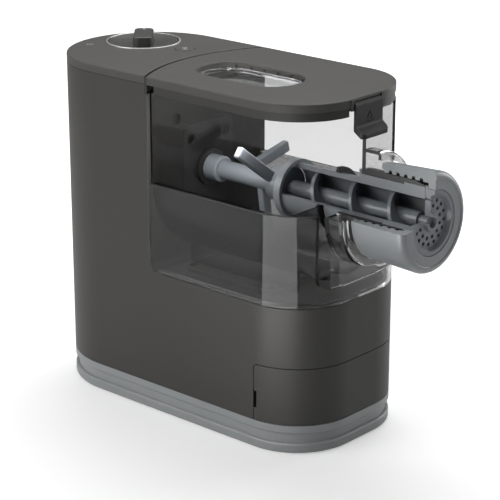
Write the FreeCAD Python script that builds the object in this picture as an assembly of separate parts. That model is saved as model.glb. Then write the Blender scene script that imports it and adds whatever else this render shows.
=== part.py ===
"""Electric pasta maker, shown as a display cutaway.

A narrow stadium-shaped appliance stands on a grooved grey base. The rear tower holds the
motor, the gear train and the control panel. In front of it a clear mixing chamber sits on the
lower housing, under a lid with an oval window. A mixing paddle and an extruding screw turn on
one horizontal axis and push dough through a tube and a shaping disc, which a screwed ring nut
holds. A drawer for spare discs fills the lower front.

The near upper quarter of the chamber, front cover, tube, disc and ring nut is cut away, so that
the screw shows. Setting show_section to False gives the whole machine.

Frame: +Z up, the ring nut faces -Y, the origin is under the middle of the bounding box.
All sizes are in millimetres.
"""

import math
import os

import FreeCAD
import Part

V = FreeCAD.Vector

# Overall body
body_width = 135.0
body_length = 286.0
body_height = 272.0
front_corner_radius = 50.0
nozzle_reach = 64.0  # from the body's front face to the front of the ring nut
housing_wall = 3.0
show_section = True
seam_turn = 140.0  # degrees

# Plan positions along Y, from the body length and the reach of the nozzle
rear_y = (body_length + nozzle_reach) / 2
front_y = rear_y - body_length
nozzle_y = front_y - nozzle_reach
rear_centre_y = rear_y - body_width / 2
half_width = body_width / 2

# Base
foot_lift = 1.0
foot_radius = 8.0
foot_pocket = 1.4
base_plate_top = 9.0
base_waist_top = 17.0
base_top = 23.4
base_waist_inset = 2.6
base_wall = 6.0
base_floor = 3.0
base_edge_round = 1.6

# Tower and lower housing
tower_depth = 128.0
tower_front_y = rear_y - tower_depth
trough_radius = 60.0
axis_drop = 84.0  # from the body's top down to the screw's axis
axis_z = body_height - axis_drop
platform_drop = 11.0  # from the trough's lowest inner point down to the platform
platform_z = axis_z - trough_radius - platform_drop
platform_thickness = 2.5
corner_round = 8.0
rim_half_width = 46.0
rim_front = 104.0  # from the tower's front face to the rim's front end
rim_rear = 14.0
rim_height = 3.4
rim_wall = 3.0
shelf_drop = 13.4  # from the body's top down to the shelf round the chamber's rear edge
shelf_z = body_height - shelf_drop
shelf_thickness = 2.4

# Curved split between control panel and lid
split_bulge = 19.0
split_radius = (half_width**2 + split_bulge**2) / (2 * split_bulge)
split_centre_y = tower_front_y + split_bulge - split_radius
split_gap = 1.8

# Control panel
cap_thickness = 6.3
cap_skin = 2.8
cap_edge_round = 0.9
dial_x = 19.5
dial_y = rear_y - 39.0
dial_radius = 30.5
dial_ring_width = 1.5
dial_dish_depth = 2.2
knob_gap = 0.5
knob_bar_width = 15.6
knob_bar_length = 37.0
knob_rise = 6.6  # from the body's top up to the top of the knob's bar
knob_top = body_height + knob_rise
knob_bar_turn = 42.0  # degrees from +X, the pointer towards the far rear
button_x = 20.0
button_y = rear_y - 85.0
button_radius = 8.0
button_travel = 1.0
button_proud = 0.3

# Boards behind the panel
board_thickness = 1.6
board_drop = 14.0
board_top = body_height - board_drop
board_post_radius = 3.0

# Mixing chamber
chamber_gap = 0.5
chamber_wall = 2.5
chamber_top = shelf_z + 0.1
trough_wall = 2.0
trough_front_reach = 23.0  # from the body's front face back to the trough's front wall
flange_thickness = 2.4
chamber_corner_radius = 9.0

# Front cover, threaded spout
cover_half_width = 44.0
cover_lift = 14.0  # from the platform up to the front cover's lower edge
cover_bottom = platform_z + cover_lift
cover_wall = 3.5
collar_radius = 46.0
collar_wall = 2.6
collar_reach = 14.0
spout_bore = 24.0
spout_outer = 28.5
spout_counterbore = 25.6
spout_step = 35.0  # from the front face to the wider bore
spout_reach = 53.8
spout_tip = 9.0

# Thread between spout and ring nut
thread_pitch = 7.0
thread_depth = 2.2
thread_root = 3.4
thread_crest = 1.3
thread_turns = 4
thread_start = 18.0  # from the front face to the first turn
thread_clearance = 0.4
unscrew_turns = 3.0

# Extrusion tube
tube_bore = 16.4
tube_outer = 20.0
tube_rear = 71.0  # from the body's front face back to the tube's mouth
tube_fit = 0.3
tube_front = 54.0  # from the front face forward to the tube's front end
tube_mouth_rim = 3.0

# Shaping disc
disc_radius = 24.4
disc_flange = 26.5
disc_plate = 5.0
disc_gap = 0.4
disc_flange_thickness = 2.4
disc_holes = 12
disc_hole_radius = 1.5
disc_hole_circle = 12.0

# Ring nut
ring_rear_radius = 36.0
ring_front_radius = 38.0
ring_length = 49.0
ring_front_round = 5.5
ring_lip = 4.6
ring_face_radius = 32.2
ring_face_depth = 0.8

# Screw and paddle
screw_core = 6.0
screw_outer = 15.6
screw_pitch = 36.0
flight_thickness = 3.0
screw_pin = 4.0
screw_pin_length = 8.0
pin_clearance = 0.06
paddle_shaft = 7.5
paddle_reach = 52.0
paddle_width = 9.0
paddle_thickness = 6.0
socket_radius = 10.5
socket_length = 14.0
hex_across = 10.0
hex_clearance = 0.25
hex_length = 11.0

# Lid
lid_thickness = 6.3
lid_skin = 2.8
lid_rest_gap = 0.4
lid_skirt_bottom = chamber_top + lid_rest_gap
lid_skirt_inset = 0.6
lid_skirt_wall = 2.4
lid_skirt_start = 7.0  # from the tower's front face to the skirt's rear end
window_x = -8.5
window_rear = 6.0  # from the tower's front face to the window
window_width = 49.0
window_radius = 23.0
window_front = 60.0  # from the body's front face back to the window
window_length = tower_front_y - front_y - window_front - window_rear
pane_thickness = 1.8
pane_margin = 4.0
window_peg_count = 6
window_peg_radius = 0.7

# Latch
latch_half_width = 15.5
latch_barrel = 3.4
latch_plate = 2.2
latch_drop = 29.0
latch_bottom = body_height - latch_drop
latch_lip_reach = 7.0
latch_side_gap = 0.6
latch_pin_radius = 1.3
latch_pin_clearance = 0.06
latch_pin_y = front_y + 1.0
latch_pin_drop = 6.1
latch_pin_z = body_height - latch_pin_drop

# Drawer
drawer_drop = 48.0  # from the platform down to the drawer's upper edge
drawer_top = platform_z - drawer_drop
drawer_back = 50.5  # from the body's front face to the drawer shell's side edges
drawer_wall = 2.6
drawer_gap = 0.6
drawer_corner = 3.5
tray_side_room = 23.5
tray_half_width = half_width - tray_side_room
tray_depth = 128.0
tray_wall = 2.0
tray_lift = 26.0
tray_head_room = 11.0
tray_height = drawer_top - tray_lift - tray_head_room
notch_height = 13.6
notch_low = (base_top + drawer_top - notch_height) / 2 - 5.4
notch_high = notch_low + notch_height
notch_depth = 2.6
rail_width = 8.0

# Gear train, all axes along Y
gear_angle = math.radians(25.0)
gear_backlash = 0.22
output_teeth = 60
output_module = 1.5
idler_pinion_teeth = 12
idler_teeth = 50
idler_module = 1.25
motor_pinion_teeth = 12
gear_width = 9.0
shaft_clearance = 0.05
output_shaft = 7.0
idler_shaft = 4.0
motor_shaft = 4.0
frame_plate = 3.0
frame_depth = 44.0
idler_z = axis_z - output_module * (output_teeth + idler_pinion_teeth) / 2
motor_z = idler_z - idler_module * (idler_teeth + motor_pinion_teeth) / 2

# Motor
stator_side = 58.0
stator_length = 40.0
stator_bore = 18.0
rotor_gap = 0.5
winding_length = 7.0
bracket_plate = 3.0
fan_radius = 21.0
fan_width = 6.0
fan_blades = 7

# Rear gland
gland_z = 40.0
gland_radius = 6.0
gland_flange = 9.0
gland_bore = 3.6

far = 500.0  # longer than the object, for cutting tools


# Building blocks


def box(x0, x1, y0, y1, z0, z1):
    return Part.makeBox(x1 - x0, y1 - y0, z1 - z0, V(x0, y0, z0))


def rod_y(radius, y0, y1, x=0.0, z=axis_z):
    return Part.makeCylinder(radius, y1 - y0, V(x, y0, z), V(0, 1, 0))


def rod_z(radius, z0, z1, x, y):
    return Part.makeCylinder(radius, z1 - z0, V(x, y, z0))


def rod_x(radius, x0, x1, y, z):
    return Part.makeCylinder(radius, x1 - x0, V(x0, y, z), V(1, 0, 0))


def fuse_all(shapes):
    result = shapes[0]
    for shape in shapes[1:]:
        result = result.fuse(shape)
    return result.removeSplitter()


def turned(points, z=axis_z):
    """A solid of revolution about the extruding axis, from (y, radius) corners."""
    corners = [V(0, y, z + radius) for y, radius in points]
    face = Part.Face(Part.makePolygon(corners + corners[:1]))
    solid = face.revolve(V(0, 0, z), V(0, 1, 0), 360)
    solid.rotate(V(0, 0, z), V(0, 1, 0), seam_turn)  # the seam stays off the cutaway's planes
    return solid


def round_edges(shape, radius, wanted):
    """Fillets the edges that the wanted function picks."""
    edges = [edge for edge in shape.Edges if wanted(edge)]
    return shape.makeFillet(radius, edges) if edges else shape


def flat_at(z):
    """Picks edges that lie in the level plane at z."""
    return lambda edge: all(abs(v.Z - z) < 0.01 for v in edge.Vertexes) and (
        abs(edge.BoundBox.ZMax - z) < 0.01 and abs(edge.BoundBox.ZMin - z) < 0.01
    )


def plan_face(inset, z):
    """The body's outline: a half circle behind, straight sides, rounded front corners."""
    side = half_width - inset
    corner = max(front_corner_radius - inset, 1.0)
    front = front_y + inset
    turn = math.sqrt(0.5)
    arc = Part.Arc
    edges = [
        arc(V(side, rear_centre_y, z), V(0, rear_centre_y + side, z), V(-side, rear_centre_y, z)),
        Part.LineSegment(V(-side, rear_centre_y, z), V(-side, front + corner, z)),
        arc(
            V(-side, front + corner, z),
            V(-side + corner * (1 - turn), front + corner * (1 - turn), z),
            V(-side + corner, front, z),
        ),
        Part.LineSegment(V(-side + corner, front, z), V(side - corner, front, z)),
        arc(
            V(side - corner, front, z),
            V(side - corner * (1 - turn), front + corner * (1 - turn), z),
            V(side, front + corner, z),
        ),
        Part.LineSegment(V(side, front + corner, z), V(side, rear_centre_y, z)),
    ]
    return Part.Face(Part.Wire([edge.toShape() for edge in edges]))


def plan_prism(z0, z1, inset=0.0):
    return plan_face(inset, z0).extrude(V(0, 0, z1 - z0))


def plan_ring(z0, z1, inset, wall):
    return plan_prism(z0, z1, inset).cut(plan_prism(z0, z1, inset + wall))


def ahead_of(y, z0=-1.0, z1=far):
    """Everything in front of a plane, towards the nozzle."""
    return box(-far, far, -far, y, z0, z1)


def behind(y, z0=-1.0, z1=far):
    return box(-far, far, y, far, z0, z1)


def split_disc(offset, z0, z1):
    """The round tool whose rear edge is the split between lid and control panel."""
    return rod_z(split_radius + offset, z0, z1, 0, split_centre_y)


def rounded_box(x0, x1, y0, y1, z0, z1, radius):
    """A box with rounded upright corners."""
    block = box(x0, x1, y0, y1, z0, z1)
    upright = [e for e in block.Edges if abs(e.Vertexes[0].Z - e.Vertexes[1].Z) > 0.01]
    return block.makeFillet(radius, upright)


def wall_plate(x0, x1, z0, z1, y0, y1, radius):
    """An upright plate with rounded corners, its face towards the nozzle."""
    block = box(x0, x1, y0, y1, z0, z1)
    along = [e for e in block.Edges if abs(e.Vertexes[0].Y - e.Vertexes[1].Y) > 0.01]
    return block.makeFillet(radius, along)


def section(shape):
    """Takes the near upper quarter off a piece of the cutaway."""
    if not show_section:
        return shape
    return shape.cut(box(-far, 0, -far, tower_front_y, axis_z, far))


def helix_band(radius, pitch, y_start, turns, profile):
    """A closed profile of (along, out) corners swept on a right-hand helix about the axis."""
    height = pitch * turns
    path = Part.makeHelix(pitch, height, radius)
    corners = [V(radius + out, 0, along) for along, out in profile]
    wire = Part.makePolygon(corners + corners[:1])
    shell = Part.BRepOffsetAPI.MakePipeShell(Part.Wire(path.Edges))
    shell.setFrenetMode(True)
    shell.add(wire)
    shell.build()
    shell.makeSolid()
    band = shell.shape()
    band.rotate(V(0, 0, 0), V(1, 0, 0), 90)  # the helix now runs towards -Y
    band.translate(V(0, y_start, axis_z))
    band.rotate(V(0, 0, axis_z), V(0, 1, 0), seam_turn)
    return band


# Gears


def involute(base, radius):
    """Angle of the involute from its start on the base circle, out to a radius."""
    reach = math.sqrt(max(radius**2 - base**2, 0.0)) / base
    return reach - math.atan(reach)


def spur_gear(teeth, module, y0, y1, z, bore, first_tooth=0.0):
    """A spur gear about an axis along Y. first_tooth is in degrees, from +X towards +Z."""
    pitch_radius = module * teeth / 2
    base = pitch_radius * math.cos(gear_angle)
    tip = pitch_radius + 0.95 * module
    root = pitch_radius - 1.2 * module
    half_tooth = (math.pi * module / 2 - gear_backlash) / 2 / pitch_radius
    start = half_tooth + involute(base, pitch_radius)
    flank_start = max(base, root)
    steps = [flank_start + (tip - flank_start) * i / 5 for i in range(6)]
    flank = [(radius, start - involute(base, radius)) for radius in steps]
    corners = []
    for tooth in range(teeth):
        centre = math.radians(first_tooth) + 2 * math.pi * tooth / teeth
        low_side = [(root, -start)] if root < base else []
        side = low_side + [(radius, -angle) for radius, angle in flank]
        for radius, angle in side + [(radius, -angle) for radius, angle in reversed(side)]:
            turn = centre + angle
            corners.append(V(radius * math.cos(turn), y0, z + radius * math.sin(turn)))
    face = Part.Face(Part.makePolygon(corners + corners[:1]))
    gear = face.extrude(V(0, y1 - y0, 0))
    return gear.cut(rod_y(bore, y0 - 1, y1 + 1, 0, z)) if bore else gear


# Base


foot_x = half_width - 23.5
foot_front = 44.0
foot_rear = 52.0
foot_places = [(sx * foot_x, y) for sx in (-1, 1) for y in (front_y + foot_front, rear_y - foot_rear)]
screw_x = half_width - 14.0
screw_front = 62.0
screw_rear = 80.0
base_screw_places = [
    (sx * screw_x, y) for sx in (-1, 1) for y in (front_y + screw_front, rear_y - screw_rear)
]
boss_radius = 4.6
boss_bore = 1.5
screw_head = 3.2
screw_shank = 1.45
screw_length = 14.0


def make_base_tray():
    plate = plan_prism(foot_lift, base_plate_top)
    plate = round_edges(plate, base_edge_round, flat_at(foot_lift))
    plate = round_edges(plate, base_edge_round, flat_at(base_plate_top))
    waist = plan_prism(base_plate_top - 1.0, base_waist_top, base_waist_inset)
    upper = plan_prism(base_waist_top, base_top)
    upper = round_edges(upper, base_edge_round / 2, flat_at(base_waist_top))
    tray = fuse_all([plate, waist, upper])
    tray = tray.cut(plan_prism(foot_lift + base_floor, base_top + 1, base_wall))
    for x, y in foot_places:
        tray = tray.cut(rod_z(foot_radius + 0.1, 0, foot_lift + foot_pocket, x, y))
    for x, y in base_screw_places:
        tray = tray.cut(rod_z(screw_shank + 0.15, 0, 10, x, y))
        tray = tray.cut(rod_z(screw_head + 0.3, 0, foot_lift + 1.6, x, y))
    for row in range(9):
        y = tower_front_y + 20 + row * 8
        tray = tray.cut(rounded_box(-28, 28, y, y + 3.2, 0, base_plate_top, 1.5))
    return tray


def make_feet():
    pads = [rod_z(foot_radius, 0, foot_lift + foot_pocket, x, y) for x, y in foot_places]
    return Part.makeCompound(pads)


def make_base_screws():
    screws = []
    head_seat = foot_lift + 1.6
    for x, y in base_screw_places:
        head = rod_z(screw_head, head_seat - 1.4, head_seat, x, y)
        shank = rod_z(screw_shank, head_seat - 0.1, head_seat + screw_length, x, y)
        screws.append(head.fuse(shank).removeSplitter())
    return Part.makeCompound(screws)


# Main housing


frame_front = tower_front_y + housing_wall
frame_rear = frame_front + frame_depth
frame_screw_places = [
    (sx * x, z) for sx in (-1, 1) for x, z in ((40.0, axis_z - 36.0), (20.0, axis_z + 50.0))
]
frame_screw_radius = 2.0
shaft_hole = 12.0
upper_sight_x = 36.0
upper_sight_z = axis_z + 45.0
upper_sight_radius = 4.6
lower_sight_x = 20.0
lower_sight_z = axis_z + 25.5
lower_sight_radius = 4.0
sight_holes = [
    (sx * x, z, radius)
    for sx in (-1, 1)
    for x, z, radius in (
        (upper_sight_x, upper_sight_z, upper_sight_radius),
        (lower_sight_x, lower_sight_z, lower_sight_radius),
    )
]
plate_half_width = 29.0
plate_low = axis_z - 32.0
plate_high = axis_z + 37.0
plate_thickness = 1.2
power_board_half_width = 46.0
power_board_front = front_y + 32.0
power_board_rear = power_board_front + 88.0
post_inset = 8.0
power_posts = [
    (sx * (power_board_half_width - 12.0), y)
    for sx in (-1, 1)
    for y in (power_board_front + post_inset, power_board_rear - post_inset)
]
power_board_drop = 13.0
power_board_top = platform_z - power_board_drop


def step_corner(radius, y1, z0):
    """The rounded inner corner where the tower rises from the platform."""
    y0 = y1 - radius
    corner = box(-far, far, y0, y1, z0, z0 + radius)
    return corner.cut(rod_x(radius, -far, far, y0, z0 + radius))


def drawer_edge_corner(radius, y1, z1):
    """What a rounded upper rear corner of the drawer front leaves of a square one."""
    corner = box(-far, far, y1 - radius, y1, z1 - radius, z1)
    return corner.cut(rod_x(radius, -far, far, y1 - radius, z1 - radius))


def make_platform_rim():
    """A low raised rim on the platform, under the trough."""
    y0 = tower_front_y - rim_front
    y1 = tower_front_y - rim_rear
    low, high = platform_z - 1, platform_z + rim_height
    rim = rounded_box(-rim_half_width, rim_half_width, y0, y1, low, high, 9.0)
    inner = rim_half_width - rim_wall
    return rim.cut(rounded_box(-inner, inner, y0 + rim_wall, y1 - rim_wall, low - 1, high + 1, 6.0))


def make_main_housing():
    low = plan_prism(base_top, platform_z)
    tower = plan_prism(base_top, body_height - cap_thickness).common(behind(tower_front_y))
    shell = low.fuse(tower)
    under_platform = plan_prism(base_top - 1, platform_z - platform_thickness, housing_wall)
    tower_room = plan_prism(base_top - 1, shelf_z - shelf_thickness, housing_wall)
    tower_room = tower_room.common(behind(tower_front_y + housing_wall))
    top_room = plan_prism(shelf_z - shelf_thickness - 1, body_height, housing_wall)
    top_room = top_room.cut(split_disc(split_gap + shelf_thickness, 0, far))
    shell = shell.cut(under_platform).cut(tower_room).cut(top_room)
    shell = shell.cut(split_disc(split_gap, shelf_z, far))
    corner = step_corner(corner_round, tower_front_y, platform_z).common(plan_prism(0, far))
    shell = shell.fuse(corner).fuse(make_platform_rim())
    opening = ahead_of(front_y + drawer_back, 0, drawer_top + drawer_gap)
    shell = shell.cut(opening.cut(drawer_edge_corner(
        drawer_corner + drawer_gap, front_y + drawer_back, drawer_top + drawer_gap)))
    boss_low = foot_lift + base_floor
    for x, y in base_screw_places:
        side = 1 if x > 0 else -1
        rib = box(min(x, side * (half_width - 1)), max(x, side * (half_width - 1)), y - 1.5, y + 1.5,
                  base_top + 1, base_top + 30)
        post = rod_z(boss_radius, boss_low, base_top + 30, x, y)
        shell = shell.fuse(post.fuse(rib)).cut(rod_z(boss_bore, 0, base_top + 10, x, y))
    for x, y in power_posts:
        shell = shell.fuse(rod_z(board_post_radius, power_board_top, platform_z - 1, x, y))
    shell = shell.cut(rod_y(shaft_hole, tower_front_y - 1, tower_front_y + housing_wall + 1))
    for x, z, radius in sight_holes:
        shell = shell.cut(rod_y(radius, tower_front_y - 1, tower_front_y + housing_wall + 1, x, z))
    for x, z in frame_screw_places:
        shell = shell.cut(rod_y(frame_screw_radius - 0.1, tower_front_y + 1, frame_front + 1, x, z))
    recess = wall_plate(-plate_half_width, plate_half_width, plate_low, plate_high,
                        tower_front_y - 1, tower_front_y + plate_thickness, 8.0)
    shell = shell.cut(recess)
    shell = shell.cut(rod_y(gland_radius + 0.1, rear_y - 20, rear_y + 1, 0, gland_z))
    shell = shell.removeSplitter()
    return round_edges(shell, 0.8, lambda e: flat_at(platform_z)(e) and e.BoundBox.YMin < front_y + 1)


def make_coupling_plate():
    """The inset plate on the tower's front face, around the drive shaft."""
    gap = 0.3
    plate = wall_plate(-plate_half_width + gap, plate_half_width - gap, plate_low + gap,
                       plate_high - gap, tower_front_y, tower_front_y + plate_thickness, 7.7)
    plate = plate.cut(rod_y(shaft_hole, tower_front_y - 1, tower_front_y + 3))
    for x, z, radius in sight_holes:
        plate = plate.cut(rod_y(radius, tower_front_y - 1, tower_front_y + 3, x, z))
    return plate


def make_sight_plugs():
    """Pins behind the small round holes in the tower's front face."""
    plugs = []
    for x, z, radius in sight_holes:
        y0 = tower_front_y + plate_thickness + 0.4
        pin = rod_y(radius - 0.3, y0, frame_front + 2.0, x, z)
        flange = rod_y(radius + 2.0, frame_front, frame_front + 2.0, x, z)
        plugs.append(pin.fuse(flange).removeSplitter())
    return Part.makeCompound(plugs)


def make_cord_gland():
    inner = rear_y - housing_wall - 3.0
    bush = rod_y(gland_radius, inner, rear_y - 0.6, 0, gland_z)
    flange = rod_y(gland_flange, inner - 2.0, inner, 0, gland_z)
    seat = plan_prism(gland_z - 20, gland_z + 20, housing_wall + 0.1)
    flange = rod_y(gland_flange, inner - 2.0, rear_y, 0, gland_z).common(seat)
    gland = bush.fuse(flange).cut(rod_y(gland_bore, inner - 10, rear_y + 1, 0, gland_z))
    return gland.removeSplitter()


# Control panel


def make_control_panel():
    low = body_height - cap_thickness + 0.3
    cap = plan_prism(low, body_height).cut(split_disc(split_gap, 0, far))
    cap = round_edges(cap, cap_edge_round, flat_at(body_height))
    room = plan_prism(low - 1, body_height - cap_skin, housing_wall + 0.4)
    room = room.cut(split_disc(split_gap + 2.4, 0, far))
    cap = cap.cut(room)
    for x, y in board_posts:
        cap = cap.fuse(rod_z(board_post_radius, board_top, body_height - 1, x, y))
    cap = cap.fuse(rod_z(dial_radius + 2, low, body_height - 1, dial_x, dial_y).common(plan_prism(low, far, 1.0)))
    cap = cap.cut(rod_z(dial_radius + 0.1, low + 1.4, body_height + 1, dial_x, dial_y))
    cap = cap.cut(rod_z(5.2, low - 1, body_height, dial_x, dial_y))
    cap = cap.fuse(rod_z(button_radius + 2.2, low, body_height - 1, button_x, button_y))
    cap = cap.cut(rod_z(button_radius + 0.35, low - 1, body_height + 1, button_x, button_y))
    return cap.removeSplitter()


board_posts = [(-40.0, rear_y - 70.0), (-22.0, rear_y - 20.0), (45.0, rear_y - 62.0), (-14.0, rear_y - 88.0)]


def make_dial_ring():
    low = body_height - cap_thickness + 1.7
    high = body_height + 0.5
    ring = rod_z(dial_radius, low, high, dial_x, dial_y)
    ring = ring.cut(rod_z(dial_radius - dial_ring_width, low, high, dial_x, dial_y))
    return round_edges(ring, 0.3, flat_at(high))


knob_floor = body_height - cap_thickness + 1.9


def make_knob():
    """A dished disc with a bar grip across it."""
    rim = dial_radius - dial_ring_width - knob_gap
    high = body_height - 0.2
    disc = rod_z(rim, knob_floor, high, dial_x, dial_y)
    dish_radius = (rim**2 + dial_dish_depth**2) / (2 * dial_dish_depth)
    dish = Part.makeSphere(dish_radius, V(dial_x, dial_y, high - dial_dish_depth + dish_radius))
    disc = disc.cut(dish)
    half = knob_bar_length / 2
    width = knob_bar_width / 2
    bar = rounded_box(-half, half, -width, width, knob_floor + 0.4, knob_top, 5.0)
    bar = round_edges(bar, 1.2, flat_at(knob_top))
    bar.rotate(V(0, 0, 0), V(0, 0, 1), knob_bar_turn)
    bar.translate(V(dial_x, dial_y, 0))
    knob = disc.fuse(bar)
    bore = rod_z(encoder_shaft, knob_floor - 1, knob_floor + 8, dial_x, dial_y)
    slot = knob_pointer_block(0.0)
    return knob.cut(bore).cut(slot).removeSplitter()


def knob_pointer_block(margin):
    """The small insert at the pointing end of the bar."""
    half = knob_bar_length / 2
    block = box(half - 7.0 + margin, half - 2.2 - margin, -1.1 + margin, 1.1 - margin,
                knob_top - 1.0, knob_top + 0.05)
    block.rotate(V(0, 0, 0), V(0, 0, 1), knob_bar_turn)
    block.translate(V(dial_x, dial_y, 0))
    return block


def make_start_button():
    """A round cap, held from below by a flange wider than its hole."""
    low = body_height - cap_thickness
    high = body_height + button_proud
    cap = rod_z(button_radius, low - 0.1, high, button_x, button_y)
    cap = round_edges(cap, 0.5, flat_at(high))
    stem = rod_z(2.2, board_top + 2.3 + button_travel, low, button_x, button_y)
    flange = rod_z(button_radius + 1.8, low - 1.3, low, button_x, button_y)
    return cap.fuse(stem).fuse(flange).removeSplitter()


def make_control_board():
    low = board_top - board_thickness
    board = plan_prism(low, board_top, 7.0).cut(split_disc(split_gap + 6, 0, far))
    return board.cut(box(-far, far, rear_y - 10.0, far, 0, far)).removeSplitter()


encoder_high = board_top + 6.6
encoder_shaft = 3.0


def make_dial_encoder():
    """The rotary switch under the knob, soldered to the board."""
    can = rounded_box(dial_x - 7, dial_x + 7, dial_y - 7, dial_y + 7, board_top, encoder_high, 1.0)
    bore = rod_z(encoder_shaft + shaft_clearance, board_top + 1, encoder_high + 1, dial_x, dial_y)
    return can.cut(bore)


def make_encoder_shaft():
    return rod_z(encoder_shaft, board_top + 1.2, knob_floor + 7.9, dial_x, dial_y)


def make_button_switch():
    return rounded_box(button_x - 3, button_x + 3, button_y - 3, button_y + 3,
                       board_top, board_top + 2.2, 0.6)


choke_radius = 11.0
choke_height = 14.0
capacitor_radius = 9.0
capacitor_height = 20.0


def make_power_board():
    low = power_board_top - board_thickness
    half = power_board_half_width
    board = box(-half, half, power_board_front, power_board_rear, low, power_board_top)
    choke = rod_z(choke_radius, low - choke_height, low, -half / 2, power_board_front + 28)
    capacitor = rod_z(capacitor_radius, low - capacitor_height, low, half * 0.4, power_board_front + 22)
    sink_y = power_board_rear - 32
    sink = box(-half * 0.2, half * 0.75, sink_y, sink_y + 4, low - capacitor_height, low)
    return fuse_all([board, choke, capacitor, sink])


# Drive


gear_lap = 0.6
output_gear_y = frame_front + frame_plate + 3.0
idler_gear_y = output_gear_y + gear_width + 5.0
motor_gear_front = idler_gear_y - 1.0


frame_half_width = 52.0
frame_low = motor_z - 34.0
frame_high = axis_z + 56.0
pillar_radius = 4.2
pillar_inset = 6.0


def frame_corner_pillars(y0, y1):
    x = frame_half_width - pillar_inset
    return [rod_y(pillar_radius, y0, y1, sx * x, z) for sx in (-1, 1) for z in (motor_z - 4, axis_z + 38)]


def make_gearbox_frame():
    """Two plates and four pillars that carry the gear train and the motor."""
    half, low, high = frame_half_width, frame_low, frame_high
    front = wall_plate(-half, half, low, high, frame_front, frame_front + frame_plate, 8.0)
    rear = wall_plate(-half, half, low, high, frame_rear - frame_plate, frame_rear, 8.0)
    for x, z, radius in sight_holes:
        front = front.cut(rod_y(radius + 2.3, frame_front - 1, frame_front + 9, x, z))
    for x, z in frame_screw_places:
        front = front.cut(rod_y(frame_screw_radius + 0.1, frame_front - 1, frame_front + 9, x, z))
    body = fuse_all([front, rear] + frame_corner_pillars(frame_front, frame_rear))
    body = body.cut(rod_y(output_shaft + 3.0, frame_front - 1, frame_rear + 1, 0, axis_z))
    body = body.cut(rod_y(idler_shaft, frame_front - 1, frame_rear + 1, 0, idler_z))
    body = body.cut(rod_y(motor_shaft + 4.0, frame_rear - 9, frame_rear + 1, 0, motor_z))
    for x, z in motor_bolt_places:
        body = body.cut(rod_y(motor_bolt_radius, frame_rear - 9, frame_rear + 1, x, z))
    return body


def make_frame_screws():
    screws = []
    for x, z in frame_screw_places:
        seat = frame_front + frame_plate
        head = rod_y(3.6, seat, seat + 2.4, x, z)
        shank = rod_y(frame_screw_radius - 0.15, tower_front_y + 1.3, seat + 0.1, x, z)
        screws.append(head.fuse(shank).removeSplitter())
    return Part.makeCompound(screws)


def make_output_bushes():
    bushes = []
    for y0 in (frame_front, frame_rear - frame_plate):
        ring = rod_y(output_shaft + 3.0, y0, y0 + frame_plate)
        bushes.append(ring.cut(rod_y(output_shaft + shaft_clearance, y0 - 1, y0 + frame_plate + 1)))
    return Part.makeCompound(bushes)


def hexagon_y(across, y0, y1):
    radius = across / 2 / math.cos(math.pi / 6)
    corners = [
        V(radius * math.cos(math.pi * i / 3), y0, axis_z + radius * math.sin(math.pi * i / 3))
        for i in range(6)
    ]
    return Part.Face(Part.makePolygon(corners + corners[:1])).extrude(V(0, y1 - y0, 0))


def make_output_shaft():
    front = tower_front_y - hex_length
    shaft = rod_y(output_shaft, tower_front_y + 1.0, frame_rear + 2.0)
    hexagon = hexagon_y(hex_across, front, tower_front_y + 2.0)
    return shaft.fuse(hexagon).removeSplitter()


def make_output_gear():
    gear = spur_gear(output_teeth, output_module, output_gear_y, output_gear_y + gear_width,
                     axis_z, output_shaft)
    for i in range(6):
        turn = math.pi * i / 3
        gear = gear.cut(rod_y(8.0, output_gear_y - 1, output_gear_y + gear_width + 1,
                              28 * math.cos(turn), axis_z + 28 * math.sin(turn)))
    return gear


def make_idler_gear():
    """Big wheel and pinion in one piece, running on a fixed axle."""
    bore = idler_shaft + shaft_clearance
    wheel = spur_gear(idler_teeth, idler_module, idler_gear_y, idler_gear_y + gear_width,
                      idler_z, bore, 3.6)
    pinion = spur_gear(idler_pinion_teeth, output_module, output_gear_y - gear_lap,
                       idler_gear_y + 0.1, idler_z, bore, 15.0)
    return wheel.fuse(pinion).removeSplitter()


def make_idler_axle():
    return rod_y(idler_shaft, frame_front, frame_rear, 0, idler_z)


motor_front = frame_rear
stator_front = motor_front + winding_length + 3.0
stator_rear = stator_front + stator_length
bracket_front = stator_rear + winding_length + 3.0
motor_bolt_places = [(sx * 25.0, motor_z + sz * 25.0) for sx in (-1, 1) for sz in (-1, 1)]
motor_bolt_radius = 1.8


def make_stator():
    half = stator_side / 2
    block = wall_plate(-half, half, motor_z - half, motor_z + half, stator_front, stator_rear, 6.0)
    block = block.cut(rod_y(stator_bore, stator_front - 1, stator_rear + 1, 0, motor_z))
    for x, z in motor_bolt_places:
        block = block.cut(rod_y(motor_bolt_radius, stator_front - 1, stator_rear + 1, x, z))
    return block


def make_windings():
    coils = []
    for y0 in (stator_front - winding_length, stator_rear):
        ring = rod_y(stator_bore + 8.0, y0, y0 + winding_length, 0, motor_z)
        ring = ring.cut(rod_y(stator_bore + 1.5, y0 - 1, y0 + winding_length + 1, 0, motor_z))
        outer = y0 if y0 < stator_front else y0 + winding_length
        coils.append(round_edges(ring, 2.4, lambda e, o=outer: abs(e.BoundBox.YMax - o) < 0.01
                                 and abs(e.BoundBox.YMin - o) < 0.01))
    return Part.makeCompound(coils)


def make_rotor():
    shaft = rod_y(motor_shaft, motor_gear_front, bracket_front + bracket_plate + 13, 0, motor_z)
    core = rod_y(stator_bore - rotor_gap, stator_front, stator_rear, 0, motor_z)
    return shaft.fuse(core).removeSplitter()


def make_motor_pinion():
    return spur_gear(motor_pinion_teeth, idler_module, motor_gear_front,
                     motor_gear_front + gear_width + 3, motor_z, motor_shaft, 15.0)


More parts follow.
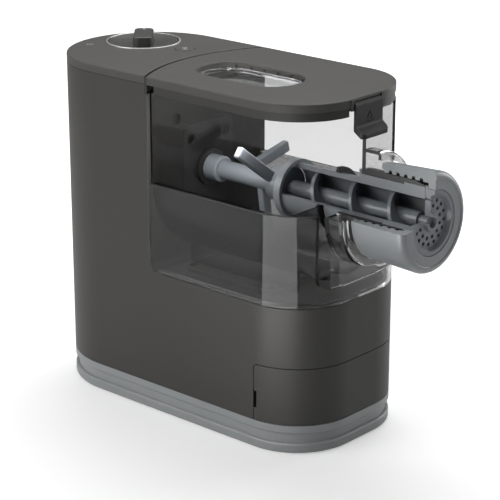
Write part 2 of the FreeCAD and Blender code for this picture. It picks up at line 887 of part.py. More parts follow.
def make_motor_bearings():
    rings = []
    for y0 in (frame_rear - frame_plate, bracket_front):
        ring = rod_y(motor_shaft + 4.0, y0, y0 + frame_plate, 0, motor_z)
        rings.append(ring.cut(rod_y(motor_shaft + shaft_clearance, y0 - 1, y0 + 9, 0, motor_z)))
    return Part.makeCompound(rings)


def make_motor_bracket():
    half = stator_side / 2
    plate = wall_plate(-half, half, motor_z - half, motor_z + half,
                       bracket_front, bracket_front + bracket_plate, 6.0)
    plate = plate.cut(rod_y(motor_shaft + 4.0, bracket_front - 1, bracket_front + 9, 0, motor_z))
    for x, z in motor_bolt_places:
        plate = plate.cut(rod_y(motor_bolt_radius, bracket_front - 1, bracket_front + 9, x, z))
    return plate


def make_motor_bolts():
    bolts = []
    for x, z in motor_bolt_places:
        seat = bracket_front + bracket_plate
        rod = rod_y(motor_bolt_radius, frame_rear - frame_plate, seat + 0.1, x, z)
        bolts.append(rod.fuse(rod_y(3.4, seat, seat + 2.2, x, z)).removeSplitter())
    return Part.makeCompound(bolts)


def make_fan():
    y0 = bracket_front + bracket_plate + 3.0
    hub = rod_y(7.5, y0, y0 + fan_width, 0, motor_z)
    blades = []
    for i in range(fan_blades):
        blade = box(6.0, fan_radius, y0, y0 + fan_width, motor_z - 0.8, motor_z + 0.8)
        blade.rotate(V(0, y0, motor_z), V(1, 0, 0), 18)
        blade = blade.common(rod_y(fan_radius, y0, y0 + fan_width, 0, motor_z))
        blade.rotate(V(0, y0, motor_z), V(0, 1, 0), 360.0 * i / fan_blades)
        blades.append(blade)
    fan = fuse_all([hub] + blades)
    return fan.cut(rod_y(motor_shaft, y0 - 5, y0 + fan_width + 5, 0, motor_z))


# Mixing chamber


chamber_rear = tower_front_y - chamber_gap
chamber_low = platform_z + chamber_gap
trough_front = front_y + trough_front_reach


def make_chamber_skirt():
    """The clear outer wall, with a round-cornered foot, open at the front for the cover."""
    wall = plan_prism(chamber_low, chamber_top).common(ahead_of(chamber_rear))
    wall = wall.cut(plan_prism(chamber_low, chamber_top, chamber_wall))
    foot = plan_prism(chamber_low, chamber_low + 2.0, 0.0).common(ahead_of(chamber_rear))
    foot = foot.cut(plan_prism(chamber_low, chamber_low + 2.0, chamber_wall + 3.5))
    skirt = wall.fuse(foot)
    skirt = skirt.cut(step_corner(corner_round - chamber_gap, chamber_rear, chamber_low))
    opening = wall_plate(-cover_half_width, cover_half_width, cover_bottom, far,
                         front_y - 1, front_y + 30, 8.0)
    return section(skirt.cut(opening).removeSplitter())


def make_mixing_trough():
    """The half-round trough with its end walls, flanges and rear wall."""
    outer = trough_radius + trough_wall
    half_tool = box(-far, far, -far, far, -far, axis_z)
    room = plan_prism(0, far, chamber_wall + chamber_gap)
    inner_room = plan_prism(0, far, chamber_wall + chamber_gap + trough_wall)
    hollow = rod_y(trough_radius, trough_front + trough_wall, chamber_rear - trough_wall)
    pipe = rod_y(outer, trough_front, chamber_rear).common(room).cut(hollow.common(inner_room))
    pipe = pipe.common(half_tool)
    inner_side = half_width - chamber_wall - 0.2
    flanges = [
        box(min(side * (outer - 1), side * inner_side), max(side * (outer - 1), side * inner_side),
            trough_front + 24, chamber_rear, axis_z - flange_thickness, axis_z).common(room)
        for side in (-1, 1)
    ]
    rear = box(-inner_side, inner_side, chamber_rear - trough_wall, chamber_rear, axis_z - 1, chamber_top)
    trough = fuse_all([pipe, rear] + flanges)
    trough = trough.cut(rod_y(hex_across, chamber_rear - 5, chamber_rear + 1))
    trough = trough.cut(rod_y(tube_outer + tube_fit, trough_front - 1, trough_front + 5))
    legs = [
        box(side * 34 - 1.2, side * 34 + 1.2, trough_front + 12, chamber_rear - 14,
            platform_z + rim_height + 0.6, axis_z - 40)
        for side in (-1, 1)
    ]
    keep_out = rod_y(outer - 0.5, trough_front - 1, chamber_rear + 1)
    for leg in legs:
        trough = trough.fuse(leg.cut(keep_out))
    return trough.removeSplitter()


def make_front_cover():
    """The clear front wall, its round collar and the dark threaded spout in one moulding."""
    gap = chamber_gap
    plate = wall_plate(-cover_half_width + gap, cover_half_width - gap, cover_bottom + gap,
                       chamber_top, front_y + 0.2, front_y + cover_wall, 7.7)
    plate = plate.common(plan_prism(0, far, 0.2))
    collar = rod_y(collar_radius - 2.5, front_y - collar_reach, front_y + 1)
    collar = round_edges(collar, 4.0, lambda e: abs(e.BoundBox.YMax - front_y + collar_reach) < 0.01)
    inner = rod_y(collar_radius - 2.5 - collar_wall, front_y - collar_reach + collar_wall, front_y + 9)
    mouth = rod_y(ring_rear_radius + 1.2, front_y - collar_reach - 1, front_y + 9)
    cover = plate.cut(rod_y(collar_radius - 3.5, front_y - 9, front_y + 9))
    back = rod_y(collar_radius - 3.0, front_y + 0.2, front_y + cover_wall)
    cover = fuse_all([cover, collar.cut(inner).cut(mouth), back])
    cover = cover.cut(rod_y(spout_outer - 0.5, front_y - 30, front_y + 30))
    return section(cover)


def thread_profile(growth):
    """The thread ridge as (along, out) corners, grown all round by a clearance."""
    root = thread_root / 2 + growth
    crest = thread_crest / 2 + growth
    high = thread_depth + growth
    return [(-root, -0.6), (root, -0.6), (crest, high), (-crest, high)]


def make_spout():
    rear = front_y + cover_wall
    front = front_y - spout_reach
    step = front_y - spout_step
    points = [
        (rear, spout_bore),
        (rear, spout_outer - 0.6),
        (front_y + 0.1, spout_outer - 0.6),
        (front_y + 0.1, spout_outer),
        (front + spout_tip, spout_outer),
        (front, spout_counterbore + 0.8),
        (front, spout_counterbore),
        (step, spout_counterbore),
        (step, spout_bore),
    ]
    sleeve = turned(points)
    ridge = helix_band(spout_outer, thread_pitch, front_y - thread_start, thread_turns,
                       thread_profile(0.0))
    sleeve = sleeve.fuse(ridge)
    return section(sleeve)


def make_extrusion_tube():
    fit = tube_fit
    rear = front_y + tube_rear
    step = front_y - spout_step - fit
    points = [
        (rear, tube_bore),
        (rear, tube_outer),
        (front_y + cover_wall + 2.6, tube_outer),
        (front_y + cover_wall + 2.6, spout_bore + 3.0),
        (front_y + cover_wall + fit, spout_bore + 3.0),
        (front_y + cover_wall + fit, spout_bore - fit),
        (step, spout_bore - fit),
        (step, spout_counterbore - fit),
        (front_y - tube_front, spout_counterbore - fit),
        (front_y - tube_front, tube_bore),
    ]
    return section(turned(points))


def make_tube_mouth_ring():
    """The stiff rim pressed round the tube's mouth inside the chamber."""
    rear = front_y + tube_rear
    return turned([
        (rear - 7.0, tube_outer + 0.05), (rear - 7.0, tube_outer + tube_mouth_rim),
        (rear - 1.0, tube_outer + tube_mouth_rim), (rear - 1.0, tube_outer + 0.05),
    ])


def make_tube_seal():
    """The dark seal in the trough's front wall, round the tube."""
    y0 = trough_front + trough_wall
    ring = turned([
        (y0, tube_outer + 0.1), (y0, tube_outer + 4.5), (y0 + 2.0, tube_outer + 4.5),
        (y0 + 3.0, tube_outer + 2.0), (y0 + 3.0, tube_outer + 0.1),
    ])
    return section(ring)


def make_shaft_seal():
    y1 = chamber_rear - trough_wall
    return turned([
        (y1 - 2.2, socket_radius + 0.4), (y1 - 2.2, socket_radius + 4.0),
        (y1, socket_radius + 4.0), (y1, socket_radius + 0.4),
    ])


# Screw and paddle


socket_rear = chamber_rear - trough_wall - 0.5
screw_rear = front_y + tube_rear + 2.0
screw_front = front_y - tube_front + 3.0


def make_auger_screw():
    core = rod_y(screw_core, screw_front, screw_rear)
    flight_turns = (screw_rear - screw_front - 8) / screw_pitch
    profile = [
        (-flight_thickness / 2, -1.0), (flight_thickness / 2, -1.0),
        (flight_thickness / 2, screw_outer - screw_core),
        (-flight_thickness / 2, screw_outer - screw_core),
    ]
    flight = helix_band(screw_core, screw_pitch, screw_rear - 4, flight_turns, profile)
    pin = rod_y(screw_pin, screw_front - screw_pin_length, screw_front + 1)
    neck = rod_y(screw_outer, screw_rear - 2, screw_rear + 2)
    return fuse_all([core, neck, flight, pin])


def paddle_arm(y_root, y_tip, turn, reach):
    """A flat bar from the shaft to its tip, leaning along the axis."""
    lean = math.atan2(y_tip - y_root, reach)
    length = math.hypot(y_tip - y_root, reach)
    arm = box(-paddle_width / 2, paddle_width / 2, -paddle_thickness / 2, paddle_thickness / 2, 0, length)
    arm = round_edges(arm, 1.5, lambda e: abs(e.Vertexes[0].Z - e.Vertexes[1].Z) > 1 or
                      min(v.Z for v in e.Vertexes) > length - 0.01)
    arm.rotate(V(0, 0, 0), V(1, 0, 0), -math.degrees(lean))
    arm.rotate(V(0, 0, 0), V(0, 1, 0), turn)
    arm.translate(V(0, y_root, axis_z))
    return arm


def make_mixing_paddle():
    """Shaft, drive socket and three leaning arms."""
    front = screw_rear + 2.0
    shaft = rod_y(paddle_shaft, front, socket_rear - socket_length + 2)
    socket = rod_y(socket_radius, socket_rear - socket_length, socket_rear)
    socket = round_edges(socket, 1.5, lambda e: abs(e.BoundBox.YMax - socket_rear + socket_length) < 0.01)
    hub = rod_y(screw_outer - 2.6, front, front + 12)
    arms = [
        paddle_arm(front + 8, front + 15, -51.0, paddle_reach),
        paddle_arm(front + 26, front + 20, 178.0, paddle_reach),
        paddle_arm(front + 48, front + 44, 75.0, paddle_reach),
    ]
    body = fuse_all([shaft, socket, hub] + arms)
    hollow = hexagon_y(hex_across + 2 * hex_clearance, socket_rear - hex_length + 0.6, socket_rear + 1)
    return body.cut(hollow)


# Shaping disc and ring nut


disc_back = front_y - tube_front - disc_gap
disc_front = disc_back - disc_plate


def make_shaping_disc():
    """The disc that the dough leaves through, with its raised outer rim."""
    lip = nozzle_y + 1.2
    flange_front = disc_back - disc_flange_thickness
    points = [
        (disc_back, screw_pin + pin_clearance),
        (disc_back, disc_flange),
        (flange_front, disc_flange),
        (flange_front, disc_radius),
        (lip, disc_radius),
        (lip, disc_radius - 3.2),
        (disc_front, disc_radius - 4.6),
        (disc_front, screw_pin + pin_clearance),
    ]
    disc = turned(points)
    hub = turned([
        (disc_front - 2.6, screw_pin + pin_clearance), (disc_front - 2.6, screw_pin + 2.4),
        (disc_front + 0.5, screw_pin + 2.8), (disc_front + 0.5, screw_pin + pin_clearance),
    ])
    disc = disc.fuse(hub)
    for ring_radius, count, shift in ((disc_hole_circle, disc_holes, 0.0), (disc_hole_circle + 4.6, 16, 0.3)):
        for i in range(count):
            turn = 2 * math.pi * (i + 0.5 + shift) / count
            hole = rod_y(disc_hole_radius, disc_front - 1, disc_back + 1,
                         ring_radius * math.cos(turn), axis_z + ring_radius * math.sin(turn))
            disc = disc.cut(hole)
    return section(disc.removeSplitter())


def make_ring_nut():
    """The grip ring, its female thread and the lip that presses the disc home."""
    rear = nozzle_y + ring_length
    bore = spout_outer + thread_clearance
    lip_back = disc_back - disc_flange_thickness - 0.2
    points = [
        (rear, bore + 2.2),
        (rear, ring_rear_radius - 1.0),
        (rear - 1.0, ring_rear_radius),
        (nozzle_y + ring_front_round, ring_front_radius),
        (nozzle_y, ring_front_radius - 0.01),
        (nozzle_y, ring_face_radius + 0.6),
        (nozzle_y + ring_face_depth, ring_face_radius),
        (nozzle_y + ring_face_depth, disc_radius + 0.35),
        (lip_back, disc_radius + 0.35),
        (lip_back, bore),
        (rear - 2.2, bore),
    ]
    nut = turned(points)
    nut = round_edges(nut, ring_front_round - 0.6, lambda e: abs(e.BoundBox.YMax - nozzle_y) < 0.01
                      and abs(e.BoundBox.ZMax - axis_z - ring_front_radius) < 0.1)
    lead = 1.0
    groove = helix_band(spout_outer, thread_pitch, front_y - thread_start + lead * thread_pitch,
                        thread_turns + lead + 1.4, thread_profile(thread_clearance))
    return section(nut.cut(groove))


# Lid and latch


def window_block(margin, z0, z1):
    half = window_width / 2 + margin
    y0 = front_y + window_front - margin
    y1 = front_y + window_front + window_length + margin
    return rounded_box(window_x - half, window_x + half, y0, y1, z0, z1, window_radius + margin)


def make_lid_top():
    low = body_height - lid_thickness
    lid = plan_prism(low, body_height).common(split_disc(0.0, 0, far))
    lid = round_edges(lid, cap_edge_round, flat_at(body_height))
    room = plan_prism(low - 1, body_height - lid_skin, 3.2)
    room = room.common(split_disc(-3.2, 0, far))
    lid = lid.cut(room)
    lid = lid.fuse(window_block(2.0, low, body_height - 1))
    lid = lid.cut(window_block(0.0, low - 1, body_height + 1))
    tops = [e for e in lid.Edges if flat_at(body_height)(e) and abs(e.BoundBox.Center.x - window_x) < 27
            and front_y + 20 < e.BoundBox.YMin and e.BoundBox.YMax < front_y + window_front + window_length + 2]
    lid = lid.makeFillet(1.0, tops)
    notch = box(-latch_half_width - latch_side_gap, latch_half_width + latch_side_gap,
                front_y - 5, latch_pin_y + latch_barrel + 1.4, low - 1, latch_pin_z + latch_barrel + 0.4)
    lid = lid.cut(notch)
    for side in (-1, 1):
        x = side * (latch_half_width + latch_side_gap + 1.3)
        ear = rounded_ear(x)
        lid = lid.fuse(ear)
    lid = lid.cut(rod_x(latch_pin_radius, -latch_half_width - 3, latch_half_width + 3, latch_pin_y, latch_pin_z))
    return lid.removeSplitter()


def rounded_ear(x):
    """One of the two ears that hold the latch pin."""
    return box(x - 1.3, x + 1.3, latch_pin_y - 0.6 - latch_pin_radius, latch_pin_y + 7,
               latch_pin_z - 2.8, body_height - 1)


def make_lid_skirt():
    high = body_height - lid_thickness - 0.0
    rear = tower_front_y - lid_skirt_start
    skirt = plan_ring(lid_skirt_bottom, high, lid_skirt_inset, lid_skirt_wall).common(ahead_of(rear))
    gap = box(-latch_half_width - 4.2, latch_half_width + 4.2, front_y - 5, front_y + 20, 0, far)
    cross = box(-half_width + lid_skirt_inset + 1, half_width - lid_skirt_inset - 1, rear - 2.4, rear,
                lid_skirt_bottom, high - pane_thickness - 0.2)
    return skirt.fuse(cross).cut(gap).removeSplitter()


def make_lid_window():
    high = body_height - lid_thickness
    pane = window_block(pane_margin, high - pane_thickness, high)
    lip = window_block(-0.3, high - 0.5, high + 1.6).cut(window_block(-2.0, high - 1, high + 3))
    return pane.fuse(lip).removeSplitter()


def make_window_pegs():
    """Small ribs round the far wall of the window opening."""
    pegs = []
    middle_y = front_y + window_front + window_length / 2
    straight = window_length / 2 - window_radius
    for i in range(window_peg_count):
        along = window_length * 0.88 * ((i + 0.5) / window_peg_count - 0.5)
        past = max(abs(along) - straight, 0.0)
        out = window_width / 2 - window_radius + math.sqrt(window_radius**2 - past**2)
        pegs.append(rod_z(window_peg_radius, body_height - lid_thickness + 1.8, body_height - 2.2,
                          window_x + out - 0.5 * window_peg_radius, middle_y + along))
    return Part.makeCompound([peg.common(window_block(-0.05, 0, far)) for peg in pegs])


def make_lid_seal():
    high = body_height - lid_thickness
    inset = lid_skirt_inset + lid_skirt_wall + 0.3
    low = chamber_top + 0.3
    ring = plan_ring(low, high, inset, 2.0).common(ahead_of(tower_front_y - lid_skirt_start - 2.8))
    gap = box(-latch_half_width - 4.2, latch_half_width + 4.2, front_y - 5, latch_pin_y + latch_barrel + 3, 0, far)
    return ring.cut(gap)


def make_latch():
    """Barrel, hanging plate and outward lip, drawn in the YZ plane."""
    y_out = latch_pin_y - latch_barrel
    y_in = y_out + latch_plate
    z0 = latch_bottom
    points = [
        V(0, y_out, latch_pin_z), V(0, y_out, z0 + 7.5), V(0, y_out - latch_lip_reach, z0 + 3.0),
        V(0, y_out - latch_lip_reach, z0), V(0, y_out - latch_lip_reach + 2.6, z0),
        V(0, y_in, z0 + 4.6), V(0, y_in, latch_pin_z),
    ]
    face = Part.Face(Part.makePolygon(points + points[:1]))
    plate = face.extrude(V(2 * latch_half_width, 0, 0))
    plate.translate(V(-latch_half_width, 0, 0))
    plate = round_edges(plate, 4.0, lambda e: e.BoundBox.ZLength > 2.9 and e.BoundBox.ZLength < 3.1
                        and e.BoundBox.YLength < 0.01)
    crease = lambda e: (e.BoundBox.XLength > 30 and abs(e.BoundBox.ZMax - z0 - 7.5) < 0.01)
    plate = round_edges(plate, 3.5, crease)
    barrel = rod_x(latch_barrel, -latch_half_width, latch_half_width, latch_pin_y, latch_pin_z)
    latch = plate.fuse(barrel).removeSplitter()
    latch = latch.cut(latch_mark())
    bore = rod_x(latch_pin_radius + latch_pin_clearance, -far, far, latch_pin_y, latch_pin_z)
    return latch.cut(bore)


def latch_mark():
    """An engraved open triangle over a bar, the usual sign for lifting."""
    y_out = latch_pin_y - latch_barrel
    depth = 0.5
    def prism(points):
        corners = [V(x, y_out - 1, z) for x, z in points]
        return Part.Face(Part.makePolygon(corners + corners[:1])).extrude(V(0, 1 + depth, 0))
    mid = latch_bottom + 14.5
    outer = prism([(-3.6, mid - 2.6), (3.6, mid - 2.6), (0, mid + 3.8)])
    inner = prism([(-2.3, mid - 1.8), (2.3, mid - 1.8), (0, mid + 2.2)])
    bar = prism([(-3.6, mid - 4.6), (3.6, mid - 4.6), (3.6, mid - 3.9), (-3.6, mid - 3.9)])
    return outer.cut(inner).fuse(bar)


def make_latch_pin():
    reach = latch_half_width + latch_side_gap + 2.4
    return rod_x(latch_pin_radius - 0.02, -reach, reach, latch_pin_y, latch_pin_z)


# Drawer


def make_drawer_front():
    low = base_top + drawer_gap
    zone = ahead_of(front_y + drawer_back - drawer_gap)
    wall = plan_prism(low, drawer_top).common(zone)
    room = plan_prism(low - 1, drawer_top - 2.2, drawer_wall)
    shell = wall.cut(room)
    shell = shell.cut(drawer_edge_corner(drawer_corner, front_y + drawer_back - drawer_gap, drawer_top))
    for side in (-1, 1):
        x = side * half_width
        notch = box(x - 4, x + 4, front_y + drawer_back - drawer_gap - notch_depth,
                    front_y + drawer_back + 1, notch_low, notch_high)
        shell = shell.cut(notch)
    back = box(-tray_half_width, tray_half_width, front_y + 9, front_y + 11, low + 3, drawer_top - 1)
    web = box(-tray_half_width, tray_half_width, front_y + 1, front_y + 10, drawer_top - 2.2, drawer_top)
    shell = shell.fuse(back).fuse(web.common(plan_prism(0, far, 1.0)))
    return shell.removeSplitter()


tray_front = front_y + 11.0
tray_rear = tray_front + tray_depth


def make_drawer_tray():
    outer = rounded_box(-tray_half_width, tray_half_width, tray_front, tray_rear,
                        tray_lift, tray_lift + tray_height, 3.0)
    inner = rounded_box(-tray_half_width + tray_wall, tray_half_width - tray_wall,
                        tray_front + tray_wall, tray_rear - tray_wall,
                        tray_lift + tray_wall, far, 2.0)
    return outer.cut(inner)


def make_drawer_rails():
    """Two L rails on the base floor that carry the tray."""
    rails = []
    floor = foot_lift + base_floor
    y0 = front_y + drawer_back + 1
    y1 = tray_rear + 3
    for side in (-1, 1):
        inner = tray_half_width - 4.0
        outer = tray_half_width + 0.4
        ledge = box(min(side * inner, side * (outer + 2)), max(side * inner, side * (outer + 2)),
                    y0, y1, floor, tray_lift - 0.3)
        cheek = box(min(side * outer, side * (outer + 2)), max(side * outer, side * (outer + 2)),
                    y0, y1, floor, tray_lift + 14)
        rails.append(ledge.fuse(cheek).removeSplitter())
    return Part.makeCompound(rails)


def all_pieces():
    """Each piece's node name and its shape."""
    return {
        "base_tray": make_base_tray(),
        "rubber_feet": make_feet(),
        "base_screws": make_base_screws(),
        "main_housing": make_main_housing(),
        "coupling_plate": make_coupling_plate(),
        "sight_plugs": make_sight_plugs(),
        "cord_gland": make_cord_gland(),
        "control_panel": make_control_panel(),
        "dial_ring": make_dial_ring(),
        "dial_knob": make_knob(),
        "knob_pointer": knob_pointer_block(0.05),
        "start_button": make_start_button(),
        "control_board": make_control_board(),
        "dial_encoder": make_dial_encoder(),
        "encoder_shaft": make_encoder_shaft(),
        "button_switch": make_button_switch(),
        "power_board": make_power_board(),
        "gearbox_frame": make_gearbox_frame(),
        "frame_screws": make_frame_screws(),
        "output_bushes": make_output_bushes(),
        "output_shaft": make_output_shaft(),
        "output_gear": make_output_gear(),
        "idler_gear": make_idler_gear(),
        "idler_axle": make_idler_axle(),
        "motor_stator": make_stator(),
        "motor_windings": make_windings(),
        "motor_rotor": make_rotor(),
        "motor_pinion": make_motor_pinion(),
        "motor_bearings": make_motor_bearings(),
        "motor_bracket": make_motor_bracket(),
        "motor_bolts": make_motor_bolts(),
        "motor_fan": make_fan(),
        "chamber_skirt": make_chamber_skirt(),
        "mixing_trough": make_mixing_trough(),
        "front_cover": make_front_cover(),
        "threaded_spout": make_spout(),
        "extrusion_tube": make_extrusion_tube(),
        "tube_mouth_ring": make_tube_mouth_ring(),
        "tube_seal": make_tube_seal(),
        "shaft_seal": make_shaft_seal(),
        "auger_screw": make_auger_screw(),
        "mixing_paddle": make_mixing_paddle(),
        "shaping_disc": make_shaping_disc(),
        "ring_nut": make_ring_nut(),
        "lid_top": make_lid_top(),
        "lid_skirt": make_lid_skirt(),
        "lid_window": make_lid_window(),
        "window_pegs": make_window_pegs(),
        "lid_seal": make_lid_seal(),
        "lid_latch": make_latch(),
        "latch_pin": make_latch_pin(),
        "drawer_front": make_drawer_front(),
        "drawer_tray": make_drawer_tray(),
        "drawer_rails": make_drawer_rails(),
    }


def main():
    os.makedirs("parts", exist_ok=True)
    for name, shape in all_pieces().items():
        solids = shape.Solids
        whole = all(solid.isValid() and solid.Volume > 0 for solid in solids)
        print(f"{name}: {len(solids)} solid(s), {shape.Volume:.0f} mm3{'' if whole else ' NOT VALID'}")
        shape.exportStep(f"parts/{name}.step")


main()
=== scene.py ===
"""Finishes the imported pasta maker: materials, printed marks, small repeated parts and the stage.

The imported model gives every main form. Each operator below dresses one group of pieces, and the
last one builds the studio. All lengths are in metres, in the model's own frame: +Z up, the ring
nut faces -Y.
"""

import math

import bmesh
import bpy
from bpy.props import FloatProperty, FloatVectorProperty, IntProperty, PointerProperty
from mathutils import Matrix, Vector


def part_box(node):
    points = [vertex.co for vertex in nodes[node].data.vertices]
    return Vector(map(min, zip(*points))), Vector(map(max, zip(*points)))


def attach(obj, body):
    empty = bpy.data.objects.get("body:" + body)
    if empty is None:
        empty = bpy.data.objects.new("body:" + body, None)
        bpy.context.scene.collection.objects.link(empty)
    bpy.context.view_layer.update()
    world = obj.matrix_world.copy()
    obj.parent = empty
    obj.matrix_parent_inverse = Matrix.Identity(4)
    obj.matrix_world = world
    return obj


bl_info = {
    "name": "Pasta Maker Finish",
    "version": (1, 0, 0),
    "blender": (4, 5, 0),
    "location": "View3D > Sidebar > Pasta Maker",
    "description": "Materials, details and studio for a cutaway electric pasta maker",
    "category": "Object",
}

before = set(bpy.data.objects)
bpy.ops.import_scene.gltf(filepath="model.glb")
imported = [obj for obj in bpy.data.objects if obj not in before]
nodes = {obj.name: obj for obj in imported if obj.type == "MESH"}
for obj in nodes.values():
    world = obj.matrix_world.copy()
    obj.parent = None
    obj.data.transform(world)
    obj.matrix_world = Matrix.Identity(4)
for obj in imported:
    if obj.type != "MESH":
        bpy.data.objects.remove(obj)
mm = 0.001

# Curved seam between the panel and the lid, lined with black as painted shade
seam_bulge = 19.0 * mm
seam_width = 1.75 * mm
seam_clearance = 0.25 * mm
seam_depth = 13.0 * mm
seam_sink = 1.3 * mm
seam_skin = 0.2 * mm
seam_end_gap = 0.6 * mm
seam_wall_sink = 0.2 * mm

# Printed marks, and painted shade along the cut edges
mark_turn = 0.84
timer_x = -18.8 * mm
timer_y = 158.8 * mm
timer_radius = 2.6 * mm
timer_line = 0.5 * mm
cut_skin = 0.15 * mm
cut_touch = 0.1 * mm
facing = 0.99

# Coil ends and board parts
wire_radius = 0.35 * mm
chip_width = 5.0 * mm
chip_lift = 0.7 * mm

# Finishes
fine_grain = 1400.0
fine_depth = 0.02 * mm
plain_specular = 0.5
satin_specular = 0.3
shadow_pass = 0.75

# Studio
world_shine = 0.75
world_fill = 0.17
dark_corner = (-0.74, -0.67, 0.0)
dark_start = 0.10
dark_end = 0.85
dark_level = 0.12
floor_half = 6.0
floor_glow = 0.42
far_glow = 0.78
glow_start = 0.16
glow_end = 0.75
camera_aim = (32.85 * mm, 32.0 * mm, 112.29 * mm)


def settings():
    return bpy.context.scene.pasta_maker


def colour_property(name, description, default):
    return FloatVectorProperty(
        name=name, description=description, subtype="COLOR", size=3, min=0.0, max=1.0, default=default
    )


def length_property(name, description, default):
    return FloatProperty(
        name=name, description=description, subtype="DISTANCE", unit="LENGTH", min=0.0, default=default
    )


class PastaMakerSettings(bpy.types.PropertyGroup):
    """Sizes and colours that someone restyling the machine would change."""

    housing_colour: colour_property("Housing", "Dark grey of the housing", (0.060, 0.058, 0.055))
    panel_colour: colour_property("Panel", "Grey of the panel and lid", (0.082, 0.080, 0.076))
    base_colour: colour_property("Base", "Mid grey of the base", (0.345, 0.362, 0.368))
    nozzle_colour: colour_property("Nozzle", "Blue grey of the ring nut", (0.32, 0.34, 0.35))
    spout_colour: colour_property("Spout", "Near-black of the threaded spout", (0.030, 0.029, 0.028))
    smoke_tint: colour_property("Smoke", "Tint of the clear chamber walls", (0.52, 0.52, 0.52))
    grain_scale: FloatProperty(
        name="Grain", description="Moulded grain, in bumps per metre", default=fine_grain, min=10.0
    )
    grain_depth: length_property("Grain depth", "Height of the moulded grain", fine_depth)
    mark_height: length_property("Mark height", "How proud the printed marks stand", 0.05 * mm)
    strand_count: IntProperty(name="Coil strands", description="Wires in a coil end", default=22, min=4)
    camera_distance: length_property("Camera distance", "From the aim point", 1.5332)
    camera_lens: FloatProperty(name="Lens", description="Focal length in mm", default=136.2, min=10.0)
    camera_turn: FloatProperty(
        name="Camera turn",
        description="Heading of the view",
        subtype="ANGLE",
        default=math.radians(48.32),
    )
    camera_pitch: FloatProperty(
        name="Camera pitch", description="Downward tilt", subtype="ANGLE", default=math.radians(18.93)
    )


# Node groups


def start_group(name, inputs, outputs):
    """A shader node group with its sockets made, ready for its nodes."""
    group = bpy.data.node_groups.new(name, "ShaderNodeTree")
    for label, kind, default in inputs:
        socket = group.interface.new_socket(label, in_out="INPUT", socket_type=kind)
        if default is not None:
            socket.default_value = default
    for label, kind in outputs:
        group.interface.new_socket(label, in_out="OUTPUT", socket_type=kind)
    entry = group.nodes.new("NodeGroupInput")
    leave = group.nodes.new("NodeGroupOutput")
    return group, entry, leave


def math_node(tree, operation, first, second):
    """One sum of two numbers or sockets, and its result."""
    node = tree.nodes.new("ShaderNodeMath")
    node.operation = operation
    for socket, value in zip(node.inputs, (first, second)):
        if isinstance(value, (int, float)):
            socket.default_value = value
        else:
            tree.links.new(value, socket)
    return node.outputs[0]


def fade_node(tree, value, start, end, first, last):
    """A smooth change from the first level to the last, while the value goes from start to end."""
    fade = tree.nodes.new("ShaderNodeMapRange")
    fade.interpolation_type = "SMOOTHSTEP"
    fade.inputs["From Min"].default_value = start
    fade.inputs["From Max"].default_value = end
    fade.inputs["To Min"].default_value = first
    fade.inputs["To Max"].default_value = last
    tree.links.new(value, fade.inputs["Value"])
    return fade.outputs["Result"]


def seen_light(tree, rays):
    """1 for what the camera sees straight or through the clear walls."""
    return math_node(tree, "MAXIMUM", rays.outputs["Is Camera Ray"], rays.outputs["Is Transmission Ray"])


def make_moulded_grain():
    """Fine spark-eroded grain: a height for the bump and a broad patchy mask."""
    group, entry, leave = start_group(
        "Moulded Grain",
        [("Vector", "NodeSocketVector", None), ("Scale", "NodeSocketFloat", fine_grain)],
        [("Height", "NodeSocketFloat"), ("Patches", "NodeSocketFloat")],
    )
    fine = group.nodes.new("ShaderNodeTexNoise")
    fine.inputs["Detail"].default_value = 3.0
    fine.inputs["Roughness"].default_value = 0.65
    group.links.new(entry.outputs["Vector"], fine.inputs["Vector"])
    group.links.new(entry.outputs["Scale"], fine.inputs["Scale"])
    broad = group.nodes.new("ShaderNodeTexNoise")
    broad.inputs["Scale"].default_value = 14.0
    broad.inputs["Detail"].default_value = 4.0
    group.links.new(entry.outputs["Vector"], broad.inputs["Vector"])
    group.links.new(fine.outputs["Fac"], leave.inputs["Height"])
    group.links.new(broad.outputs["Fac"], leave.inputs["Patches"])


def make_tone_drift():
    """Lets a colour drift slightly lighter and darker with a mask."""
    group, entry, leave = start_group(
        "Tone Drift",
        [
            ("Color", "NodeSocketColor", (0.5, 0.5, 0.5, 1.0)),
            ("Mask", "NodeSocketFloat", 0.5),
            ("Amount", "NodeSocketFloat", 0.1),
        ],
        [("Color", "NodeSocketColor")],
    )
    offset = math_node(group, "SUBTRACT", entry.outputs["Mask"], 0.5)
    change = math_node(group, "MULTIPLY", offset, entry.outputs["Amount"])
    value = math_node(group, "ADD", change, 1.0)
    shade = group.nodes.new("ShaderNodeHueSaturation")
    group.links.new(entry.outputs["Color"], shade.inputs["Color"])
    group.links.new(value, shade.inputs["Value"])
    group.links.new(shade.outputs["Color"], leave.inputs["Color"])


def make_handling_marks():
    """Roughness with faint wiped smears, from one stretched noise."""
    group, entry, leave = start_group(
        "Handling Marks",
        [
            ("Vector", "NodeSocketVector", None),
            ("Roughness", "NodeSocketFloat", 0.4),
            ("Amount", "NodeSocketFloat", 0.08),
        ],
        [("Roughness", "NodeSocketFloat")],
    )
    stretch = group.nodes.new("ShaderNodeMapping")
    stretch.inputs["Scale"].default_value = (30.0, 30.0, 9.0)
    stretch.inputs["Rotation"].default_value = (0.4, 0.2, 0.3)
    group.links.new(entry.outputs["Vector"], stretch.inputs["Vector"])
    smear = group.nodes.new("ShaderNodeTexNoise")
    smear.inputs["Scale"].default_value = 1.0
    smear.inputs["Detail"].default_value = 6.0
    smear.inputs["Distortion"].default_value = 0.6
    group.links.new(stretch.outputs["Vector"], smear.inputs["Vector"])
    offset = math_node(group, "SUBTRACT", smear.outputs["Fac"], 0.5)
    change = math_node(group, "MULTIPLY", offset, entry.outputs["Amount"])
    total = math_node(group, "ADD", change, entry.outputs["Roughness"])
    group.links.new(total, leave.inputs["Roughness"])


